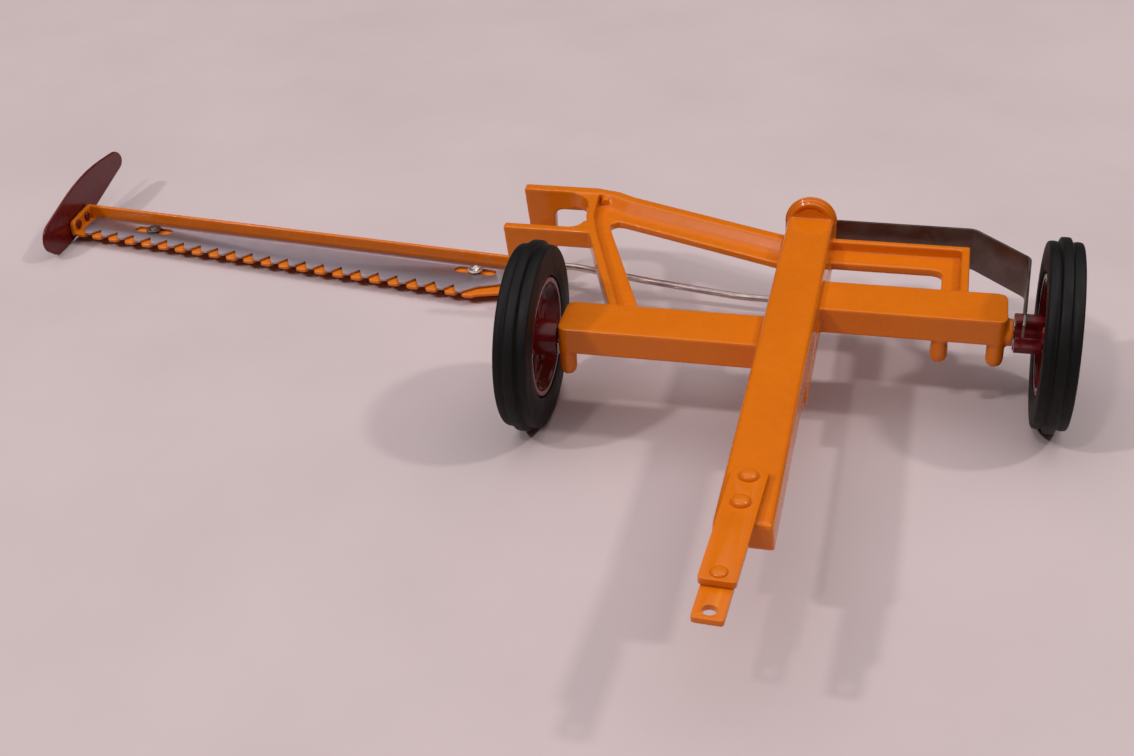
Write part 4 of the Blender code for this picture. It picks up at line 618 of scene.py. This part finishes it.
def spoke_shape(rim, side):
    """One spoke along +Y: a rib that narrows to a rounded crest and widens to both ends."""
    shape = bmesh.new()
    rings = []
    for distance, half, crest in SPOKE_STATIONS:
        ring = []
        for step in range(SPOKE_SIDES + 1):
            angle = math.pi * step / SPOKE_SIDES
            across = half * MM * math.cos(angle)
            height = (SPOKE_FOOT + (crest - SPOKE_FOOT) * math.sin(angle) ** 0.7) * MM
            ring.append(shape.verts.new((side * height, distance * MM * rim / SPOKE_RIM, across)))
        rings.append(ring)
    for near, far in zip(rings, rings[1:]):
        for step in range(SPOKE_SIDES):
            shape.faces.new((near[step], near[step + 1], far[step + 1], far[step]))
        shape.faces.new((near[-1], near[0], far[0], far[-1]))
    shape.faces.new(rings[0])
    shape.faces.new(rings[-1])
    bmesh.ops.recalc_face_normals(shape, faces=shape.faces)
    return shape


class MOWER_OT_wheels(bpy.types.Operator):
    """Makes the rubber tyres and the dished, spoked wheel discs"""
    bl_idname = "mower.wheels"
    bl_label = "Wheels"

    def execute(self, context):
        sizes = context.scene.mower_sizes
        for word, side in (("left", 1), ("right", -1)):
            centre, radius, half_width = wheel_place(word)
            low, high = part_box(f"wheel_disc_{word}")
            rim = (high.z - low.z) / 2
            hub_end = high.x - centre.x if side > 0 else centre.x - low.x
            section = tyre_section(radius, half_width, sizes.shoulder_drop, sizes.rib_half_width, rim)
            tyre = turned(f"tyre_{word}_rubber", section, sizes.wheel_segments, centre,
                          f"moulded_rubber_{word}")
            dress(facing_out(tyre), f"moulded_rubber_{word}", f"tyre_{word}")
            disc = turned(f"wheel_disc_{word}_pressing", disc_section(rim, half_width, side, hub_end),
                          sizes.wheel_segments, centre, "stove_enamel_dark_red")
            dress(facing_out(disc), "stove_enamel_dark_red", f"wheel_disc_{word}")
            spoke = link_mesh(f"wheel_spokes_{word}", spoke_shape(rim, side))
            grow(spoke, spokes_tree(), {"Count": sizes.spoke_count, "Centre": centre,
                                        "Material": finish_named("stove_enamel_dark_red")})
            dress(spoke, "stove_enamel_dark_red", f"wheel_disc_{word}")
        return {"FINISHED"}


class MOWER_OT_axles(bpy.types.Operator):
    """Makes the axle pins with their washers"""
    bl_idname = "mower.axles"
    bl_label = "Axles"

    def execute(self, context):
        edge = context.scene.mower_sizes.pin_edge
        for word in ("left", "right"):
            sheared_skin(f"axle_{word}", edge, "drawn_steel_wire")
            sheared_skin(f"axle_washer_{word}", edge, "rolled_sheet_steel")
        return {"FINISHED"}


class MOWER_OT_drive_star(bpy.types.Operator):
    """Makes the vaned hub that lifts the rocker"""
    bl_idname = "mower.drive_star"
    bl_label = "Drive star"

    def execute(self, context):
        cast_skin("drive_star", "stove_enamel_dark_red", context.scene.mower_sizes.star_grain,
                  passes=5, kept=0.5)
        return {"FINISHED"}


# Frame and hitch

PIN_HOLE_RADIUS = 1.85 * MM
BOSS_REAR = 1.4 * MM         # from the boss's rear face to the rocker's washer
BOSS_STEPS_DEPTH = 2.6 * MM
BOSS_STEP = 0.7 * MM
BOSS_CORE = 5.0 * MM         # inner radius of the rings, inside the solid boss
# A small pit that the solid leaves in the left rail's rear corner.
RAIL_PIT = (Vector((28.5, 78.5, 31.2)) * MM, Vector((31.5, 84.5, 34.2)) * MM)


class MOWER_OT_cast_frame(bpy.types.Operator):
    """Makes the enamelled casting with its soft edges and filled corners"""
    bl_idname = "mower.cast_frame"
    bl_label = "Cast frame"

    def execute(self, context):
        sizes = context.scene.mower_sizes
        low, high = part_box("rocker_pin")
        centre = (low + high) / 2
        boss_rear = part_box("rocker_washer")[0].y - BOSS_REAR
        # The hole ends inside the boss, so that the plug shows on neither side.
        level = centre.z - 0.25 * MM
        hole = (Vector((centre.x - PIN_HOLE_RADIUS, low.y - 0.6 * MM, level)),
                Vector((centre.x + PIN_HOLE_RADIUS, boss_rear - 0.3 * MM, level)))
        cast_skin("frame_casting", "stove_enamel_orange", sizes.cast_grain,
                  passes=sizes.cast_rounding, kept=0.44, plugs=(hole, RAIL_PIT))
        front = boss_rear - BOSS_STEPS_DEPTH
        second = front + BOSS_STEP
        third = second + BOSS_STEP
        steps = softened([
            (front, BOSS_CORE, 0), (front, 6.7 * MM, 0.2 * MM), (second, 6.8 * MM, 0.12 * MM),
            (second, 7.45 * MM, 0.2 * MM), (third, 7.55 * MM, 0.12 * MM), (third, 8.2 * MM, 0.25 * MM),
            (boss_rear, 8.25 * MM, 0.4 * MM), (boss_rear, BOSS_CORE, 0)], 3)
        rings = turned("boss_steps", steps, sizes.wheel_segments, (0, 0, 0), "stove_enamel_orange")
        rings.data.transform(Matrix.Rotation(math.radians(90), 4, "Z"))
        rings.data.transform(Matrix.Translation((centre.x, 0.0, centre.z)))
        dress(facing_out(rings), "stove_enamel_orange", "frame_casting", alone=True)
        return {"FINISHED"}


def rivet_group(name, nodes, seat, finish):
    """Upright domed rivets in the place of like CAD rivets, with their heads on the level of the seat."""
    spots = []
    for node in nodes:
        low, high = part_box(node)
        spots.append(((low.x + high.x) / 2, (low.y + high.y) / 2, seat))
    low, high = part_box(nodes[0])
    piece = points_object(name, spots)
    grow(piece, rivets_tree(), {
        "Head Radius": (high.x - low.x) / 2, "Head Height": high.z - seat,
        "Shank Radius": (high.x - low.x) / 4, "Shank Length": seat - low.z,
        "Segments": bpy.context.scene.mower_sizes.rivet_segments, "Material": finish_named(finish)})
    return dress(piece, finish, *nodes)


class MOWER_OT_hitch(bpy.types.Operator):
    """Makes the hitch's strap and tab with their rounded, painted edges, and its rivets"""
    bl_idname = "mower.hitch"
    bl_label = "Hitch"

    def execute(self, context):
        sizes = context.scene.mower_sizes
        sheared_skin("hitch_strap", sizes.strap_edge, "stove_enamel_orange", steps=4)
        sheared_skin("hitch_tab", sizes.strap_edge, "stove_enamel_orange", steps=4)
        strap_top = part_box("hitch_strap")[1].z
        rivet_group("strap_rivets", ("strap_rivet_rear", "strap_rivet_front"), strap_top,
                    "stove_enamel_orange")
        rivet_group("tab_rivet_heads", ("tab_rivet",), strap_top, "stove_enamel_orange")
        return {"FINISHED"}


# Cutter bar, knife and board

class MOWER_OT_cutter_bar(bpy.types.Operator):
    """Makes the lobed, enamelled bar with its hinge pins"""
    bl_idname = "mower.cutter_bar"
    bl_label = "Cutter bar"

    def execute(self, context):
        sizes = context.scene.mower_sizes
        cast_skin("cutter_bar", "stove_enamel_orange", sizes.bar_grain,
                  passes=sizes.bar_rounding, kept=0.5)
        for node in ("hinge_pin_front", "hinge_pin_rear"):
            sheared_skin(node, sizes.pin_edge, "blued_strip_steel")
        return {"FINISHED"}


HEAD_START = 0.6             # where a head begins under its top, in head radii
HEAD_TAPER = 0.16            # how far the hammer drew the head in, as a share of its radius
HEAD_SINK = 0.12             # how far the hammer drove its top down, as a share of its radius


def peened_head(node, name, finish, lumps):
    """A rivet whose end was hammered over: the CAD rivet's place, with a lumpy, faceted head."""
    low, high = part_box(node)
    centre = (low + high) / 2
    radius = (high.x - low.x) / 2
    shape = merged_copy(node)
    bmesh.ops.subdivide_edges(shape, edges=shape.edges, cuts=3, use_grid_fill=True)
    head_base = high.z - radius * HEAD_START
    for corner in shape.verts:
        if corner.co.z < head_base:
            continue
        out = Vector((corner.co.x - centre.x, corner.co.y - centre.y, 0.0))
        shift = noise.noise(corner.co * lumps)
        corner.co.x -= out.x * HEAD_TAPER * (1 + shift)
        corner.co.y -= out.y * HEAD_TAPER * (1 + shift)
        corner.co.z -= radius * HEAD_SINK * (1 + noise.noise(corner.co * lumps * 1.7))
    piece = link_mesh(name, shape)
    return dress(piece, finish, node)


class MOWER_OT_knife(bpy.types.Operator):
    """Makes the toothed blade with its rivets and washers"""
    bl_idname = "mower.knife"
    bl_label = "Knife"

    def execute(self, context):
        sizes = context.scene.mower_sizes
        sheared_skin("knife", sizes.blade_edge, "rolled_sheet_steel", steps=2)
        sheared_skin("knife_washer_inner", sizes.blade_edge, "drawn_steel_wire", steps=2)
        sheared_skin("knife_washer_outer", sizes.blade_edge, "blued_strip_steel", steps=2)
        peened_head("knife_rivet_inner", "knife_rivet_inner_peened", "drawn_steel_wire", 900.0)
        peened_head("knife_rivet_outer", "knife_rivet_outer_peened", "blued_strip_steel", 700.0)
        return {"FINISHED"}


class MOWER_OT_swath_board(bpy.types.Operator):
    """Makes the red board at the bar's outer end with its rivets"""
    bl_idname = "mower.swath_board"
    bl_label = "Swath board"

    def execute(self, context):
        sizes = context.scene.mower_sizes
        cast_skin("swath_board", "stove_enamel_dark_red", sizes.board_grain, passes=3, kept=0.4)
        for node in ("swath_rivet_1", "swath_rivet_2"):
            sheared_skin(node, sizes.blade_edge, "stove_enamel_dark_red")
        return {"FINISHED"}


# Rocker and wire

WIRE_EYE = 3 * MM            # length at each end where the wire keeps its solid's thickness
WIRE_RUN_OUT = 4 * MM        # length over which it thickens


class MOWER_OT_rocker(bpy.types.Operator):
    """Makes the folded strip between the star and the knife's wire"""
    bl_idname = "mower.rocker"
    bl_label = "Rocker"

    def execute(self, context):
        sizes = context.scene.mower_sizes
        sheared_skin("rocker_arm", sizes.blade_edge, "blued_strip_steel", steps=2)
        sheared_skin("rocker_pin", sizes.pin_edge, "blued_strip_steel")
        sheared_skin("rocker_washer", sizes.pin_edge, "blued_strip_steel")
        return {"FINISHED"}


class MOWER_OT_pitman_wire(bpy.types.Operator):
    """Makes the round bent wire that drives the knife"""
    bl_idname = "mower.pitman_wire"
    bl_label = "Pitman wire"

    def execute(self, context):
        shape = merged_copy("pitman_wire")
        bmesh.ops.dissolve_limit(shape, angle_limit=math.radians(0.5), verts=shape.verts, edges=shape.edges)
        piece = link_mesh("pitman_wire_drawn", shape)
        rounding = piece.modifiers.new("round wire", "SUBSURF")
        rounding.levels = 2
        rounding.render_levels = 2
        settle(piece)
        # The wire looks thicker than its solid between the two eyes, which it passes at its own size.
        low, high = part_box("pitman_wire")
        for corner in piece.data.vertices:
            inside = min(corner.co.x - low.x, high.x - corner.co.x)
            share = min(max((inside - WIRE_EYE) / WIRE_RUN_OUT, 0.0), 1.0)
            corner.co += corner.normal * context.scene.mower_sizes.wire_swell * share
        dress(piece, "drawn_steel_wire", "pitman_wire")
        return {"FINISHED"}


# Stage

PHOTO_WIDTH = 1134
FOCAL_PIXELS = 1550.0
CAMERA_PLACE = (0.136496, -0.381686, 0.266370)
CAMERA_YAW = 15.0            # degrees to the left of the machine's own front to back line
CAMERA_PITCH = 32.7
CAMERA_ROLL = -3.2
# Each lamp's place follows the shadow that it throws: metres sideways and back per metre of height.
LAMPS = (
    # name, direction, width, power, tint
    ("lamp_front", (-0.28, -0.65, 1.0), 0.2, 18.0, (1.0, 0.96, 0.90)),
    ("lamp_left", (-0.77, -0.60, 1.0), 0.22, 41.0, (1.0, 0.965, 0.97)),
    ("lamp_right", (0.85, 0.08, 1.0), 0.28, 36.0, (1.0, 0.96, 0.89)))
LAMP_TARGET = Vector((0.03, 0.0, 0.02))
LAMP_DISTANCE = 4.0
WALL_TOP = 0.6               # height in the view direction where the walls end
CEILING_START = 0.88
WALL_LIGHT = 0.03
CEILING_LIGHT = 1.3
CEILING_TINT = (1.0, 0.985, 0.98, 1.0)
BACKDROP_LIGHT = 0.9
FLOOR_HALF = 6.0


def camera_matrix():
    """Where the photographer's camera stood, from its three angles."""
    yaw = math.radians(CAMERA_YAW)
    pitch = math.radians(CAMERA_PITCH)
    roll = math.radians(CAMERA_ROLL)
    ahead = Vector((-math.sin(yaw) * math.cos(pitch), math.cos(yaw) * math.cos(pitch), -math.sin(pitch)))
    level = Vector((math.cos(yaw), math.sin(yaw), 0.0))
    upright = level.cross(ahead)
    right = level * math.cos(roll) + upright * math.sin(roll)
    up = upright * math.cos(roll) - level * math.sin(roll)
    turn = Matrix((right, up, -ahead)).transposed().to_4x4()
    return Matrix.Translation(CAMERA_PLACE) @ turn


def soft_lamp(name, direction, size, power, tint):
    """A square studio lamp that looks at the mower from a direction."""
    place = LAMP_TARGET + Vector(direction).normalized() * LAMP_DISTANCE
    data = bpy.data.lights.new(name, "AREA")
    data.shape = "SQUARE"
    data.size = size
    data.energy = power
    data.color = tint
    lamp = bpy.data.objects.new(name, data)
    lamp.location = place
    lamp.rotation_euler = (LAMP_TARGET - place).to_track_quat("-Z", "Y").to_euler()
    bpy.context.scene.collection.objects.link(lamp)


def stage_floor(tone):
    """A wide pale table top with the faint mottling of painted board."""
    finish, add = new_material("painted_board_pale")
    place = add("ShaderNodeTexCoord").outputs["Object"]
    cloud = add(NOISE, inputs={"Vector": place, "Scale": 1 / FLOOR_CLOUD, "Detail": 4.0, "Roughness": 0.55})
    grain = add(NOISE, inputs={"Vector": place, "Scale": 1 / FLOOR_GRAIN, "Detail": 4.0})
    darker = (*(value * 0.93 for value in tone[:3]), 1.0)
    shader = add("ShaderNodeBsdfPrincipled", inputs={
        "Base Color": add(MIX, COLOURS, (add(RANGE, inputs=(cloud, 0.35, 0.7)), tone, darker)),
        "Roughness": 0.85,
        "Specular IOR Level": 0.2,
        "Normal": add(BUMP, inputs={"Height": grain, "Distance": 0.1 * MM, "Strength": 0.15})})
    add("ShaderNodeOutputMaterial", inputs={"Surface": shader})
    shape = bmesh.new()
    bmesh.ops.create_grid(shape, x_segments=2, y_segments=2, size=FLOOR_HALF)
    floor = link_mesh("floor", shape)
    floor.data.materials.append(finish)


def stage_world(tone):
    """A room with a lit ceiling and dim walls; the camera itself sees only the pale backdrop."""
    world = bpy.data.worlds.new("room")
    world.use_nodes = True
    world.node_tree.nodes.clear()
    add = partial(add_node, world.node_tree)
    split = add("ShaderNodeSeparateXYZ", inputs=(add("ShaderNodeTexCoord").outputs["Generated"],))
    level = add(RANGE, inputs=(
        split.outputs["Z"], WALL_TOP, CEILING_START, WALL_LIGHT, CEILING_LIGHT))
    room = add("ShaderNodeBackground", inputs={"Color": CEILING_TINT, "Strength": level})
    backdrop = add("ShaderNodeBackground", inputs={"Color": tone, "Strength": BACKDROP_LIGHT})
    seen = add("ShaderNodeLightPath").outputs["Is Camera Ray"]
    blend = add("ShaderNodeMixShader", inputs=(seen, room, backdrop))
    add("ShaderNodeOutputWorld", inputs={"Surface": blend})
    bpy.context.scene.world = world


class MOWER_OT_stage(bpy.types.Operator):
    """Makes the camera, the floor, the room and the studio lamps"""
    bl_idname = "mower.stage"
    bl_label = "Stage"

    def execute(self, context):
        scene = context.scene
        tone = scene.mower_colours.floor
        data = bpy.data.cameras.new("camera")
        data.sensor_width = 36.0
        data.lens = 36.0 * FOCAL_PIXELS / PHOTO_WIDTH
        data.clip_start = 0.01
        data.clip_end = 20.0
        camera = bpy.data.objects.new("camera", data)
        camera.matrix_world = camera_matrix()
        scene.collection.objects.link(camera)
        scene.camera = camera
        stage_floor(tone)
        stage_world(tone)
        for lamp in LAMPS:
            soft_lamp(*lamp)
        scene.view_settings.view_transform = "Standard"
        return {"FINISHED"}


PIECE_OPERATORS = (
    MOWER_OT_cast_frame, MOWER_OT_hitch, MOWER_OT_wheels, MOWER_OT_axles, MOWER_OT_drive_star,
    MOWER_OT_cutter_bar, MOWER_OT_knife, MOWER_OT_swath_board, MOWER_OT_rocker, MOWER_OT_pitman_wire,
    MOWER_OT_stage)


class MOWER_PT_pieces(bpy.types.Panel):
    """Lists the pieces and the values that shape them"""
    bl_label = "Mower"
    bl_idname = "MOWER_PT_pieces"
    bl_space_type = "VIEW_3D"
    bl_region_type = "UI"
    bl_category = "Mower"

    def draw(self, context):
        layout = self.layout
        for maker in PIECE_OPERATORS:
            layout.operator(maker.bl_idname)
        for group in (context.scene.mower_sizes, context.scene.mower_colours):
            box = layout.box()
            for name in group.__annotations__:
                box.prop(group, name)


CLASSES = (MowerSizes, MowerColours, *PIECE_OPERATORS, MOWER_PT_pieces)


def register():
    for made in CLASSES:
        bpy.utils.register_class(made)
    bpy.types.Scene.mower_sizes = bpy.props.PointerProperty(type=MowerSizes)
    bpy.types.Scene.mower_colours = bpy.props.PointerProperty(type=MowerColours)


def unregister():
    del bpy.types.Scene.mower_colours
    del bpy.types.Scene.mower_sizes
    for made in reversed(CLASSES):
        bpy.utils.unregister_class(made)


def main():
    register()
    bpy.ops.mower.stage()
    bpy.ops.mower.cast_frame()
    bpy.ops.mower.hitch()
    bpy.ops.mower.wheels()
    bpy.ops.mower.axles()
    bpy.ops.mower.drive_star()
    bpy.ops.mower.cutter_bar()
    bpy.ops.mower.knife()
    bpy.ops.mower.swath_board()
    bpy.ops.mower.rocker()
    bpy.ops.mower.pitman_wire()


if __name__ == "__main__":
    main()
